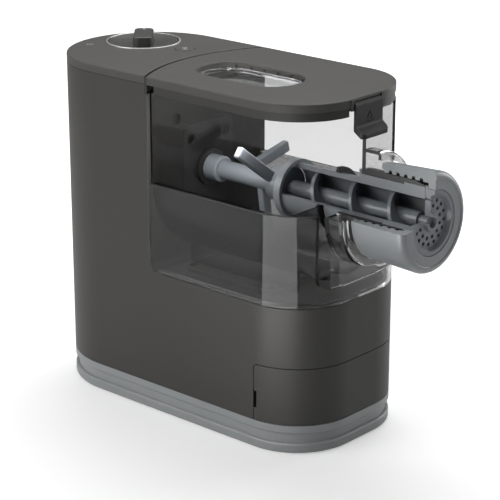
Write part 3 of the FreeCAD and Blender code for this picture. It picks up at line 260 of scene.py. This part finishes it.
def make_turned_lines():
    """Fine rings round an axis along Y, as on turned metal."""
    group, entry, leave = start_group(
        "Turned Lines",
        [("Vector", "NodeSocketVector", None), ("Scale", "NodeSocketFloat", 600.0)],
        [("Height", "NodeSocketFloat")],
    )
    wave = group.nodes.new("ShaderNodeTexWave")
    wave.bands_direction = "Y"
    wave.inputs["Distortion"].default_value = 1.5
    wave.inputs["Detail"].default_value = 2.0
    group.links.new(entry.outputs["Vector"], wave.inputs["Vector"])
    group.links.new(entry.outputs["Scale"], wave.inputs["Scale"])
    group.links.new(wave.outputs["Fac"], leave.inputs["Height"])


def group_node(tree, name):
    """A node that uses one of the groups above."""
    node = tree.nodes.new("ShaderNodeGroup")
    node.node_tree = bpy.data.node_groups[name]
    return node


# Materials


def node_of(material, kind):
    """The first node of a kind in a material."""
    return next(node for node in material.node_tree.nodes if node.type == kind)


def surface(
    name,
    colour,
    roughness,
    grain=fine_grain,
    depth=fine_depth,
    drift=0.10,
    marks=0.08,
    specular=plain_specular,
    metallic=0.0,
):
    """A material with drifting tone, uneven gloss and a fine bump."""
    material = bpy.data.materials.new(name)
    material.use_nodes = True
    tree = material.node_tree
    shader = tree.nodes["Principled BSDF"]
    shader.inputs["Specular IOR Level"].default_value = specular
    shader.inputs["Metallic"].default_value = metallic
    place = tree.nodes.new("ShaderNodeTexCoord").outputs["Object"]
    skin = group_node(tree, "Moulded Grain")
    skin.inputs["Scale"].default_value = grain
    tree.links.new(place, skin.inputs["Vector"])
    tone = group_node(tree, "Tone Drift")
    tone.inputs["Color"].default_value = (*colour, 1.0)
    tone.inputs["Amount"].default_value = drift
    tree.links.new(skin.outputs["Patches"], tone.inputs["Mask"])
    tree.links.new(tone.outputs["Color"], shader.inputs["Base Color"])
    gloss = group_node(tree, "Handling Marks")
    gloss.inputs["Roughness"].default_value = roughness
    gloss.inputs["Amount"].default_value = marks
    tree.links.new(place, gloss.inputs["Vector"])
    tree.links.new(gloss.outputs["Roughness"], shader.inputs["Roughness"])
    bump = tree.nodes.new("ShaderNodeBump")
    bump.inputs["Distance"].default_value = depth
    bump.inputs["Strength"].default_value = 0.6
    tree.links.new(skin.outputs["Height"], bump.inputs["Height"])
    tree.links.new(bump.outputs["Normal"], shader.inputs["Normal"])
    return material


def body_plastic(name, colour, roughness, specular):
    """The moulded grain of the large outer pieces, in the sizes of the sidebar."""
    s = settings()
    return surface(
        name, colour, roughness, grain=s.grain_scale, depth=s.grain_depth, specular=specular
    )


def housing_plastic():
    return body_plastic("Dark Housing", settings().housing_colour, 0.42, satin_specular)


def panel_plastic():
    return body_plastic("Panel Grey", settings().panel_colour, 0.44, satin_specular)


def base_plastic():
    return body_plastic("Base Grey", settings().base_colour, 0.40, plain_specular)


def knob_plastic():
    return surface("Knob Grey", (0.058, 0.057, 0.055), 0.36, grain=1600.0, depth=0.015 * mm)


def ring_chrome():
    return surface(
        "Trim Ring",
        (0.72, 0.72, 0.71),
        0.34,
        grain=900.0,
        depth=0.004 * mm,
        drift=0.05,
        marks=0.1,
        metallic=1.0,
    )


def clear_plastic(name, tint, roughness=0.03, ior=1.33):
    """A clear moulding that lets most light through, with faint wiping marks."""
    material = surface(name, tint, roughness, grain=60.0, depth=0.001 * mm, drift=0.04, marks=0.02)
    shader = node_of(material, "BSDF_PRINCIPLED")
    shader.inputs["Transmission Weight"].default_value = 1.0
    shader.inputs["IOR"].default_value = ior
    tree = material.node_tree
    rays = tree.nodes.new("ShaderNodeLightPath")
    passing = math_node(tree, "MULTIPLY", rays.outputs["Is Shadow Ray"], shadow_pass)
    solid = math_node(tree, "SUBTRACT", 1.0, passing)
    tree.links.new(solid, shader.inputs["Alpha"])
    return material


def smoked_wall():
    return clear_plastic("Smoked Wall", settings().smoke_tint)


# Partly the trough's own smoke, partly painted shade: its tint is darker than the walls' so the
# chamber's lower part shows dark.
def smoked_shaded_trough():
    return clear_plastic("Smoked Shaded Trough", (0.30, 0.30, 0.30), roughness=0.05)


def front_clear():
    return clear_plastic("Clear Front", (0.70, 0.70, 0.70))


def window_clear():
    return clear_plastic("Window Clear", (0.93, 0.94, 0.95), roughness=0.02)


# Painted shade: a near-black skin for the cut faces of the clear walls.
def cut_edge_shade():
    return surface("Cut Edge Shade", (0.025, 0.025, 0.025), 0.45, grain=1500.0, depth=0.005 * mm)


def spout_plastic():
    return surface("Spout Black", settings().spout_colour, 0.34, grain=1500.0, depth=0.01 * mm)


def nozzle_plastic():
    return surface("Nozzle Grey", settings().nozzle_colour, 0.33, grain=1500.0, depth=0.01 * mm)


def tube_plastic():
    return surface("Tube Grey", (0.27, 0.29, 0.305), 0.30, grain=1300.0, depth=0.01 * mm)


def screw_plastic():
    return surface("Screw Grey", (0.20, 0.22, 0.24), 0.26, grain=1200.0, depth=0.01 * mm, drift=0.16)


def disc_plastic():
    return surface("Disc Grey", (0.245, 0.262, 0.28), 0.30, grain=1300.0, depth=0.01 * mm)


def coupling_plastic():
    return surface("Coupling Grey", (0.085, 0.084, 0.082), 0.36)


def rim_plastic():
    return surface("Rim Dark", (0.046, 0.045, 0.043), 0.42, specular=satin_specular)


def latch_plastic():
    return surface(
        "Latch Black",
        (0.018, 0.0175, 0.017),
        0.42,
        grain=1800.0,
        depth=0.008 * mm,
        specular=satin_specular,
    )


def tray_plastic():
    return surface("Tray Grey", (0.30, 0.30, 0.30), 0.45)


def black_plastic():
    return surface("Black Plastic", (0.012, 0.012, 0.012), 0.5)


def seal_rubber():
    return surface("Seal Rubber", (0.016, 0.016, 0.016), 0.62, grain=700.0, depth=0.04 * mm)


def foot_rubber():
    return surface("Foot Rubber", (0.02, 0.02, 0.02), 0.8, grain=500.0, depth=0.1 * mm)


def metal(name, colour, roughness, rings=600.0):
    """Turned or drawn metal, with fine rings round the machine's long axis."""
    material = surface(name, colour, roughness, grain=500.0, drift=0.12, marks=0.12, metallic=1.0)
    tree = material.node_tree
    place = node_of(material, "TEX_COORD").outputs["Object"]
    turned = group_node(tree, "Turned Lines")
    turned.inputs["Scale"].default_value = rings
    tree.links.new(place, turned.inputs["Vector"])
    tree.links.new(turned.outputs["Height"], node_of(material, "BUMP").inputs["Height"])
    return material


def steel():
    return metal("Steel", (0.56, 0.56, 0.57), 0.28)


def sheet_stack():
    return metal("Stator Sheets", (0.30, 0.30, 0.31), 0.45, rings=1000.0)


def frame_alloy():
    return metal("Cast Alloy", (0.52, 0.52, 0.53), 0.5, rings=90.0)


def bush_brass():
    return metal("Bush Brass", (0.62, 0.44, 0.20), 0.3)


def copper_wire():
    return surface(
        "Copper Wire",
        (0.48, 0.17, 0.07),
        0.3,
        grain=900.0,
        depth=0.03 * mm,
        drift=0.3,
        metallic=0.6,
    )


def gear_plastic():
    return surface("Gear White", (0.66, 0.65, 0.60), 0.4, grain=900.0)


def board_laminate():
    return surface(
        "Board Green", (0.012, 0.075, 0.032), 0.35, grain=300.0, depth=0.03 * mm, drift=0.5
    )


def mark_ink():
    return surface("Mark Ink", (0.42, 0.42, 0.41), 0.5, grain=2000.0, depth=0.005 * mm)


def component_black():
    return surface("Component Black", (0.02, 0.02, 0.022), 0.4, grain=1500.0, depth=0.01 * mm)


def paint(material, *names):
    """Gives CAD nodes their material."""
    for name in names:
        mesh = nodes[name].data
        mesh.materials.clear()
        mesh.materials.append(material)


# Mesh helpers


def add_piece(name, mesh, material, body):
    """Links a finished mesh as a piece that rides on a body."""
    mesh.materials.clear()
    mesh.materials.append(material)
    piece = bpy.data.objects.new(name, mesh)
    bpy.context.scene.collection.objects.link(piece)
    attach(piece, body)
    return piece


def mesh_from(work, name):
    """Turns an editing mesh into a plain one."""
    mesh = bpy.data.meshes.new(name)
    work.to_mesh(mesh)
    work.free()
    return mesh


def plate_mesh(name, outlines, thickness, place):
    """Flat outlines given a thickness along +Z, then moved by the place matrix."""
    work = bmesh.new()
    for outline in outlines:
        low = [work.verts.new((x, y, 0.0)) for x, y in outline]
        high = [work.verts.new((x, y, thickness)) for x, y in outline]
        work.faces.new(low[::-1])
        work.faces.new(high)
        for i in range(len(outline)):
            j = (i + 1) % len(outline)
            work.faces.new((low[i], low[j], high[j], high[i]))
    bmesh.ops.recalc_face_normals(work, faces=work.faces)
    work.transform(place)
    return mesh_from(work, name)


def ring_outlines(radius, width, start, end, steps=40):
    """A ring or an arc as small four-cornered outlines."""
    cells = []
    for i in range(steps):
        a = start + (end - start) * i / steps
        b = start + (end - start) * (i + 1) / steps
        cells.append(
            [
                (radius * math.cos(a), radius * math.sin(a)),
                (radius * math.cos(b), radius * math.sin(b)),
                ((radius - width) * math.cos(b), (radius - width) * math.sin(b)),
                ((radius - width) * math.cos(a), (radius - width) * math.sin(a)),
            ]
        )
    return cells


def edge_strip(name, node, chosen, thickness):
    """A thin skin over the chosen flat faces of a node, for a line of painted shade along its edge."""
    work = bmesh.new()
    work.from_mesh(nodes[node].data)
    drop = [face for face in work.faces if not chosen(face)]
    bmesh.ops.delete(work, geom=drop, context="FACES")
    bmesh.ops.remove_doubles(work, verts=work.verts, dist=1e-6)
    if not work.faces:
        raise RuntimeError(f"{name} found no faces on {node}")
    lift = work.faces[:][0].normal.copy()
    grown = bmesh.ops.extrude_face_region(work, geom=work.faces[:])
    moved = [item for item in grown["geom"] if isinstance(item, bmesh.types.BMVert)]
    bmesh.ops.translate(work, verts=moved, vec=lift * thickness)
    bmesh.ops.recalc_face_normals(work, faces=work.faces)
    return mesh_from(work, name)


def bar_outline(x0, x1, y0, y1):
    """A rectangle between two corners."""
    return [(x0, y0), (x1, y0), (x1, y1), (x0, y1)]


# Geometry node helpers


def start_geometry(name, inputs):
    """A geometry node tree with float or integer inputs and one geometry output."""
    tree = bpy.data.node_groups.new(name, "GeometryNodeTree")
    for label, kind, default in inputs:
        tree.interface.new_socket(label, in_out="INPUT", socket_type=kind).default_value = default
    tree.interface.new_socket("Geometry", in_out="OUTPUT", socket_type="NodeSocketGeometry")
    entry = tree.nodes.new("NodeGroupInput")
    leave = tree.nodes.new("NodeGroupOutput")
    return tree, entry, leave


def grown_mesh(name, tree, values):
    """Runs a geometry tree on an empty mesh and returns the plain result."""
    holder = bpy.data.objects.new(name, bpy.data.meshes.new(name))
    bpy.context.scene.collection.objects.link(holder)
    modifier = holder.modifiers.new(name, "NODES")
    modifier.node_group = tree
    for item in tree.interface.items_tree:
        if item.in_out == "INPUT" and item.name in values:
            modifier[item.identifier] = values[item.name]
    graph = bpy.context.evaluated_depsgraph_get()
    mesh = bpy.data.meshes.new_from_object(holder.evaluated_get(graph))
    holder.modifiers.clear()
    bpy.data.objects.remove(holder)
    if len(mesh.polygons) == 0:
        raise RuntimeError(f"{name} came out empty")
    return mesh


def finish_tree(tree, leave, geometry, material):
    """Ends a tree in Realize Instances and Set Material."""
    realize = tree.nodes.new("GeometryNodeRealizeInstances")
    tree.links.new(geometry, realize.inputs["Geometry"])
    dress = tree.nodes.new("GeometryNodeSetMaterial")
    dress.inputs["Material"].default_value = material
    tree.links.new(realize.outputs["Geometry"], dress.inputs["Geometry"])
    tree.links.new(dress.outputs["Geometry"], leave.inputs["Geometry"])


def smooth_node(tree, geometry):
    """Shades the geometry smooth."""
    node = tree.nodes.new("GeometryNodeSetShadeSmooth")
    tree.links.new(geometry, node.inputs["Geometry"])
    return node.outputs["Geometry"]


def coil_tree(material):
    """Round wires, spaced along the winding's section and wrapped round the axis."""
    tree, entry, leave = start_geometry(
        "Coil End",
        [
            ("Strands", "NodeSocketInt", 22),
            ("Outer Radius", "NodeSocketFloat", 0.026),
            ("Wire", "NodeSocketFloat", 0.0005),
            ("Length", "NodeSocketFloat", 0.006),
        ],
    )
    path = tree.nodes.new("GeometryNodeCurvePrimitiveCircle")
    path.inputs["Resolution"].default_value = 56
    tree.links.new(entry.outputs["Outer Radius"], path.inputs["Radius"])
    section = tree.nodes.new("GeometryNodeCurvePrimitiveCircle")
    section.inputs["Resolution"].default_value = 6
    tree.links.new(entry.outputs["Wire"], section.inputs["Radius"])
    wire = tree.nodes.new("GeometryNodeCurveToMesh")
    tree.links.new(path.outputs["Curve"], wire.inputs["Curve"])
    tree.links.new(section.outputs["Curve"], wire.inputs["Profile Curve"])
    line = tree.nodes.new("GeometryNodeMeshLine")
    line.mode = "END_POINTS"
    tree.links.new(entry.outputs["Strands"], line.inputs["Count"])
    end = tree.nodes.new("ShaderNodeCombineXYZ")
    tree.links.new(entry.outputs["Length"], end.inputs["Z"])
    tree.links.new(end.outputs["Vector"], line.inputs["Offset"])
    copies = tree.nodes.new("GeometryNodeInstanceOnPoints")
    tree.links.new(line.outputs["Mesh"], copies.inputs["Points"])
    tree.links.new(wire.outputs["Mesh"], copies.inputs["Instance"])
    finish_tree(tree, leave, smooth_node(tree, copies.outputs["Instances"]), material)
    return tree


def block_grid_tree(name, material):
    """A grid of small blocks with uneven sizes, for the parts soldered on a board."""
    tree, entry, leave = start_geometry(
        name,
        [
            ("Width", "NodeSocketFloat", 0.08),
            ("Length", "NodeSocketFloat", 0.08),
            ("Columns", "NodeSocketInt", 8),
            ("Rows", "NodeSocketInt", 8),
            ("Block", "NodeSocketFloat", 0.004),
        ],
    )
    grid = tree.nodes.new("GeometryNodeMeshGrid")
    tree.links.new(entry.outputs["Width"], grid.inputs["Size X"])
    tree.links.new(entry.outputs["Length"], grid.inputs["Size Y"])
    tree.links.new(entry.outputs["Columns"], grid.inputs["Vertices X"])
    tree.links.new(entry.outputs["Rows"], grid.inputs["Vertices Y"])
    block = tree.nodes.new("GeometryNodeMeshCube")
    size = tree.nodes.new("ShaderNodeCombineXYZ")
    for axis in ("X", "Y"):
        tree.links.new(entry.outputs["Block"], size.inputs[axis])
    half = math_node(tree, "MULTIPLY", entry.outputs["Block"], 0.5)
    tree.links.new(half, size.inputs["Z"])
    tree.links.new(size.outputs["Vector"], block.inputs["Size"])
    copies = tree.nodes.new("GeometryNodeInstanceOnPoints")
    tree.links.new(grid.outputs["Mesh"], copies.inputs["Points"])
    tree.links.new(block.outputs["Mesh"], copies.inputs["Instance"])
    uneven = tree.nodes.new("FunctionNodeRandomValue")
    uneven.data_type = "FLOAT_VECTOR"
    uneven.inputs["Min"].default_value = (0.35, 0.25, 0.6)
    uneven.inputs["Max"].default_value = (1.0, 0.8, 1.6)
    uneven.inputs["Seed"].default_value = 7
    tree.links.new(uneven.outputs["Value"], copies.inputs["Scale"])
    chosen = tree.nodes.new("FunctionNodeRandomValue")
    chosen.data_type = "BOOLEAN"
    chosen.inputs["Probability"].default_value = 0.55
    chosen.inputs["Seed"].default_value = 3
    tree.links.new(chosen.outputs["Value"], copies.inputs["Selection"])
    finish_tree(tree, leave, copies.outputs["Instances"], material)
    return tree


# Operators


class PASTA_OT_housing(bpy.types.Operator):
    """Dress the base, the main housing and the drawer"""

    bl_idname = "pasta.housing"
    bl_label = "Housing, Base and Drawer"

    def execute(self, context):
        paint(housing_plastic(), "main_housing", "drawer_front")
        paint(base_plastic(), "base_tray")
        paint(foot_rubber(), "rubber_feet")
        paint(tray_plastic(), "drawer_tray")
        paint(black_plastic(), "cord_gland", "drawer_rails")
        paint(coupling_plastic(), "coupling_plate")
        # Painted shade: the sight plugs are black so they read as the dark inside open holes in the wall
        # behind the chamber.
        paint(bpy.data.materials["Black Plastic"], "sight_plugs")
        paint(steel(), "base_screws", "frame_screws")
        return {"FINISHED"}


class PASTA_OT_panel(bpy.types.Operator):
    """Dress the control panel, the dial and the start button, with their printed marks"""

    bl_idname = "pasta.panel"
    bl_label = "Control Panel"

    def execute(self, context):
        paint(panel_plastic(), "control_panel", "start_button")
        paint(knob_plastic(), "dial_knob")
        paint(ring_chrome(), "dial_ring")
        paint(mark_ink(), "knob_pointer")
        self.button_mark()
        self.timer_mark()
        self.seam_shade_liner()
        return {"FINISHED"}

    def seam_shade_liner(self):
        """Painted shade: a black lining in the curved gap between the panel and the lid, a floor and a
        thin wall, so the gap shows dark.
        """
        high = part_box("control_panel")[1]
        half = high.x
        radius = (half**2 + seam_bulge**2) / (2 * seam_bulge)
        centre_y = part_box("lid_top")[1].y - radius
        reach = math.asin((half - seam_end_gap) / radius)
        start, end = math.pi / 2 - reach, math.pi / 2 + reach
        place = Matrix.Translation((0.0, centre_y, high.z - seam_depth))
        parts = {
            "seam_shade_floor": (seam_width - seam_clearance, seam_depth - seam_sink),
            "seam_shade_wall": (seam_skin, seam_depth - seam_wall_sink),
        }
        for name, (width, tall) in parts.items():
            outline = ring_outlines(radius + seam_width, width, start, end, 60)
            mesh = plate_mesh(name, outline, tall, place)
            add_piece(name, mesh, bpy.data.materials["Black Plastic"], "main")

    def button_mark(self):
        """A triangle and two bars, sunk into the button's top."""
        low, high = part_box("start_button")
        centre = (low + high) / 2
        height = settings().mark_height
        triangle = [(-3.6 * mm, -2.2 * mm), (0.2 * mm, 0.0), (-3.6 * mm, 2.2 * mm)]
        bars = [bar_outline(x * mm, (x + 0.9) * mm, -2.1 * mm, 2.1 * mm) for x in (1.2, 3.0)]
        spot = Matrix.Translation((centre.x, centre.y, high.z - height))
        place = spot @ Matrix.Rotation(mark_turn, 4, "Z")
        mesh = plate_mesh("start_mark", [triangle] + bars, 2 * height, place)
        add_piece("start_mark", mesh, bpy.data.materials["Mark Ink"], "button")

    def timer_mark(self):
        """A small open ring with a hand, on the panel beside the dial."""
        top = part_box("control_panel")[1].z
        height = settings().mark_height
        ring = ring_outlines(timer_radius, timer_line, 0.6, 2 * math.pi)
        hand = [bar_outline(-timer_line / 2, timer_line / 2, 0.0, 1.6 * mm)]
        spot = Matrix.Translation((timer_x, timer_y, top - height))
        place = spot @ Matrix.Rotation(mark_turn, 4, "Z")
        mesh = plate_mesh("timer_mark", ring + hand, 2 * height, place)
        add_piece("timer_mark", mesh, bpy.data.materials["Mark Ink"], "main")


class PASTA_OT_chamber(bpy.types.Operator):
    """Dress the clear mixing chamber and its seals"""

    bl_idname = "pasta.chamber"
    bl_label = "Mixing Chamber"

    def execute(self, context):
        paint(smoked_wall(), "chamber_skirt")
        paint(smoked_shaded_trough(), "mixing_trough")
        paint(front_clear(), "front_cover")
        paint(seal_rubber(), "tube_seal", "shaft_seal")
        self.cut_edges()
        return {"FINISHED"}

    def cut_edges(self):
        """Painted shade: dark lines laid on the section's cut faces of the clear walls, which look dark
        edge-on.
        """
        low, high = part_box("extrusion_tube")
        cut_height = (low.z + high.z) / 2

        def on_rim(face):
            at_cut = abs(face.calc_center_median().z - cut_height) < cut_touch
            return face.normal.z > facing and at_cut

        def on_side(face):
            at_cut = abs(face.calc_center_median().x) < cut_touch
            return face.normal.x < -facing and at_cut

        cut_shade = cut_edge_shade()
        skirt_shade = edge_strip("skirt_cut_shade", "chamber_skirt", on_rim, cut_skin)
        add_piece("skirt_cut_shade", skirt_shade, cut_shade, "chamber")
        cover_shade = edge_strip("cover_cut_shade", "front_cover", on_side, cut_skin)
        add_piece("cover_cut_shade", cover_shade, cut_shade, "chamber")


class PASTA_OT_nozzle(bpy.types.Operator):
    """Dress the spout, the tube, the shaping disc and the ring nut"""

    bl_idname = "pasta.nozzle"
    bl_label = "Nozzle"

    def execute(self, context):
        paint(spout_plastic(), "threaded_spout")
        paint(tube_plastic(), "extrusion_tube", "tube_mouth_ring")
        paint(disc_plastic(), "shaping_disc")
        paint(nozzle_plastic(), "ring_nut")
        return {"FINISHED"}


class PASTA_OT_screw(bpy.types.Operator):
    """Dress the extruding screw and the mixing paddle"""

    bl_idname = "pasta.screw"
    bl_label = "Screw and Paddle"

    def execute(self, context):
        paint(screw_plastic(), "auger_screw", "mixing_paddle")
        return {"FINISHED"}


class PASTA_OT_lid(bpy.types.Operator):
    """Dress the lid, its window and the latch"""

    bl_idname = "pasta.lid"
    bl_label = "Lid and Latch"

    def execute(self, context):
        paint(bpy.data.materials["Panel Grey"], "lid_top")
        paint(rim_plastic(), "lid_skirt")
        paint(window_clear(), "lid_window")
        paint(bpy.data.materials["Seal Rubber"], "lid_seal", "window_pegs")
        paint(latch_plastic(), "lid_latch")
        paint(bpy.data.materials["Steel"], "latch_pin")
        return {"FINISHED"}


class PASTA_OT_drive(bpy.types.Operator):
    """Dress the motor and the gear train, and wind the motor's coil ends"""

    bl_idname = "pasta.drive"
    bl_label = "Motor and Gears"

    def execute(self, context):
        paint(frame_alloy(), "gearbox_frame")
        paint(bush_brass(), "output_bushes")
        shafts = ("output_shaft", "idler_axle", "encoder_shaft", "motor_rotor", "motor_pinion")
        paint(bpy.data.materials["Steel"], "motor_bearings", "motor_bolts", *shafts)
        paint(gear_plastic(), "output_gear", "idler_gear")
        paint(sheet_stack(), "motor_stator")
        paint(copper_wire(), "motor_windings")
        paint(bpy.data.materials["Black Plastic"], "motor_fan", "motor_bracket")
        self.wind_coils()
        return {"FINISHED"}

    def wind_coils(self):
        """Wires laid side by side on each end of the stator, over the plain rings."""
        low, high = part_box("motor_windings")
        centre = (low + high) / 2
        outer = (high.x - low.x) / 2
        stator_low, stator_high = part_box("motor_stator")
        copper = bpy.data.materials["Copper Wire"]
        tree = coil_tree(copper)
        ends = {"front": (low.y, stator_low.y), "rear": (stator_high.y, high.y)}
        margin = 2.5 * wire_radius
        for end, (start, stop) in ends.items():
            values = {
                "Strands": settings().strand_count // 2,
                "Outer Radius": outer - wire_radius / 2,
                "Wire": wire_radius,
                "Length": stop - start - 2 * margin,
            }
            mesh = grown_mesh("coil_" + end, tree, values)
            place = Matrix.Translation((centre.x, start + margin, centre.z))
            mesh.transform(place @ Matrix.Rotation(-math.pi / 2, 4, "X"))
            add_piece("coil_" + end, mesh, copper, "main")


class PASTA_OT_boards(bpy.types.Operator):
    """Dress the circuit boards and set small parts on them"""

    bl_idname = "pasta.boards"
    bl_label = "Circuit Boards"

    def execute(self, context):
        paint(board_laminate(), "control_board", "power_board")
        paint(bpy.data.materials["Black Plastic"], "dial_encoder", "button_switch")
        self.fill_board(component_black())
        return {"FINISHED"}

    def fill_board(self, material):
        """Small chips in rows on the power board's upper face."""
        low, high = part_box("power_board")
        values = {
            "Width": high.x - low.x - 3 * chip_width,
            "Length": high.y - low.y - 5 * chip_width,
            "Columns": 7,
            "Rows": 6,
            "Block": chip_width,
        }
        mesh = grown_mesh("board_parts", block_grid_tree("Board Parts", material), values)
        centre = (low + high) / 2
        mesh.transform(Matrix.Translation((centre.x, centre.y, high.z + chip_lift)))
        add_piece("board_parts", mesh, material, "main")


class PASTA_OT_stage(bpy.types.Operator):
    """Build the pale floor, the soft lights and the camera"""

    bl_idname = "pasta.stage"
    bl_label = "Studio"

    def execute(self, context):
        context.scene.view_settings.view_transform = "Standard"
        self.make_floor()
        self.make_world(context)
        self.make_lamps()
        self.make_camera(context)
        return {"FINISHED"}

    def make_floor(self):
        """A pale floor that glows more away from the machine, so its shadow stays near it."""
        work = bmesh.new()
        bmesh.ops.create_grid(work, x_segments=1, y_segments=1, size=floor_half)
        mesh = mesh_from(work, "floor")
        floor = bpy.data.objects.new("floor", mesh)
        bpy.context.scene.collection.objects.link(floor)
        mesh.materials.append(self.floor_white())

    def floor_white(self):
        """White for the floor, with the glow only in what the camera sees."""
        material = bpy.data.materials.new("Floor White")
        material.use_nodes = True
        tree = material.node_tree
        shader = tree.nodes["Principled BSDF"]
        shader.inputs["Base Color"].default_value = (0.82, 0.82, 0.82, 1.0)
        shader.inputs["Roughness"].default_value = 0.9
        shader.inputs["Specular IOR Level"].default_value = 0.0
        shader.inputs["Emission Color"].default_value = (1.0, 1.0, 1.0, 1.0)
        seen = seen_light(tree, tree.nodes.new("ShaderNodeLightPath"))
        reach = tree.nodes.new("ShaderNodeVectorMath")
        reach.operation = "LENGTH"
        tree.links.new(tree.nodes.new("ShaderNodeTexCoord").outputs["Object"], reach.inputs[0])
        level = fade_node(tree, reach.outputs["Value"], glow_start, glow_end, floor_glow, far_glow)
        glow = math_node(tree, "MULTIPLY", seen, level)
        tree.links.new(glow, shader.inputs["Emission Strength"])
        return material

    def make_world(self, context):
        """White to the camera, and a dimmer room with dark corners for shine and fill."""
        world = bpy.data.worlds.new("Studio World")
        context.scene.world = world
        world.use_nodes = True
        tree = world.node_tree
        backdrop = tree.nodes["Background"]
        backdrop.inputs["Color"].default_value = (1.0, 1.0, 1.0, 1.0)
        rays = tree.nodes.new("ShaderNodeLightPath")
        seen = seen_light(tree, rays)
        shine = math_node(tree, "MULTIPLY", rays.outputs["Is Glossy Ray"], world_shine)
        soft = math_node(tree, "MAXIMUM", shine, world_fill)
        shaded = math_node(tree, "MULTIPLY", soft, self.room_gradient(tree))
        total = math_node(tree, "MAXIMUM", seen, shaded)
        tree.links.new(total, backdrop.inputs["Strength"])

    def room_gradient(self, tree):
        """Bright at the sides and above, dark toward the near and the far corner of the room."""
        place = tree.nodes.new("ShaderNodeTexCoord").outputs["Generated"]
        lean = tree.nodes.new("ShaderNodeVectorMath")
        lean.operation = "DOT_PRODUCT"
        lean.inputs[1].default_value = dark_corner
        tree.links.new(place, lean.inputs[0])
        size = math_node(tree, "MULTIPLY", lean.outputs["Value"], lean.outputs["Value"])
        return fade_node(tree, size, dark_start, dark_end, 1.0, dark_level)

    def make_lamps(self):
        """Soft boxes round the machine, a strip for its corner and a small lamp in the chamber."""
        self.add_lamp(
            "left_softbox", spot=(-0.85, 0.40, 0.60), aim=(0.0, 0.03, 0.18), size=(0.7, 0.5), power=4.0
        )
        self.add_lamp(
            "near_softbox", spot=(-1.35, -0.10, 0.50), aim=(0.0, -0.03, 0.18), size=(0.4, 0.8), power=2.4
        )
        self.add_lamp(
            "top_softbox", spot=(0.55, 0.36, 1.35), aim=(0.0, 0.03, 0.1), size=(1.0, 1.0), power=13.5
        )
        self.add_shine_card()
        inner = self.add_lamp(
            "chamber_fill",
            spot=(-0.050, -0.020, 0.242),
            aim=(-0.040, 0.05, 0.20),
            size=(0.03, 0.03),
            power=0.075,
        )
        inner.visible_glossy = False
        self.add_lamp(
            "right_softbox", spot=(1.35, -0.45, 0.45), aim=(0.0, -0.05, 0.15), size=(0.6, 0.8), power=6.0
        )

    def add_shine_card(self):
        """A narrow strip that only shows as a highlight down the near rounded corner."""
        card = self.add_lamp(
            "corner_strip",
            spot=(-0.25, -0.115, 0.09),
            aim=(-0.055, -0.10, 0.15),
            size=(0.25, 0.16),
            power=0.60,
        )
        card.visible_diffuse = False
        card.visible_transmission = False

    def add_lamp(self, name, spot, aim, size, power):
        """A rectangular lamp at a spot, turned toward the aim point and unseen by the camera."""
        data = bpy.data.lights.new(name, "AREA")
        data.shape = "RECTANGLE"
        data.size, data.size_y = size
        data.energy = power
        lamp = bpy.data.objects.new(name, data)
        lamp.location = spot
        lamp.rotation_euler = (Vector(aim) - Vector(spot)).to_track_quat("-Z", "Y").to_euler()
        lamp.visible_camera = False
        bpy.context.scene.collection.objects.link(lamp)
        return lamp

    def make_camera(self, context):
        """The camera, set back from its aim point along the heading."""
        s = settings()
        level = math.cos(s.camera_pitch)
        heading = Vector(
            (
                math.sin(s.camera_turn) * level,
                math.cos(s.camera_turn) * level,
                -math.sin(s.camera_pitch),
            )
        )
        data = bpy.data.cameras.new("camera")
        data.sensor_width = 36.0
        data.lens = s.camera_lens
        data.clip_start = 0.05
        data.clip_end = 30.0
        camera = bpy.data.objects.new("camera", data)
        camera.location = Vector(camera_aim) - heading * s.camera_distance
        camera.rotation_euler = heading.to_track_quat("-Z", "Y").to_euler()
        context.scene.collection.objects.link(camera)
        context.scene.camera = camera


class PASTA_PT_panel(bpy.types.Panel):
    """Lists the machine's pieces in the sidebar"""

    bl_idname = "PASTA_PT_panel"
    bl_label = "Pasta Maker"
    bl_space_type = "VIEW_3D"
    bl_region_type = "UI"
    bl_category = "Pasta Maker"

    def draw(self, context):
        layout = self.layout
        for name in PastaMakerSettings.__annotations__:
            layout.prop(context.scene.pasta_maker, name)
        for operator in operators:
            layout.operator(operator.bl_idname)


operators = (
    PASTA_OT_housing,
    PASTA_OT_panel,
    PASTA_OT_chamber,
    PASTA_OT_nozzle,
    PASTA_OT_screw,
    PASTA_OT_lid,
    PASTA_OT_drive,
    PASTA_OT_boards,
    PASTA_OT_stage,
)


def register():
    bpy.utils.register_class(PastaMakerSettings)
    for operator in operators:
        bpy.utils.register_class(operator)
    bpy.utils.register_class(PASTA_PT_panel)
    bpy.types.Scene.pasta_maker = PointerProperty(type=PastaMakerSettings)


def unregister():
    del bpy.types.Scene.pasta_maker
    bpy.utils.unregister_class(PASTA_PT_panel)
    for operator in reversed(operators):
        bpy.utils.unregister_class(operator)
    bpy.utils.unregister_class(PastaMakerSettings)


def main():
    register()
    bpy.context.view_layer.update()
    make_moulded_grain()
    make_tone_drift()
    make_handling_marks()
    make_turned_lines()
    bpy.ops.pasta.housing()
    bpy.ops.pasta.panel()
    bpy.ops.pasta.chamber()
    bpy.ops.pasta.nozzle()
    bpy.ops.pasta.screw()
    bpy.ops.pasta.lid()
    bpy.ops.pasta.drive()
    bpy.ops.pasta.boards()
    bpy.ops.pasta.stage()


if __name__ == "__main__":
    main()
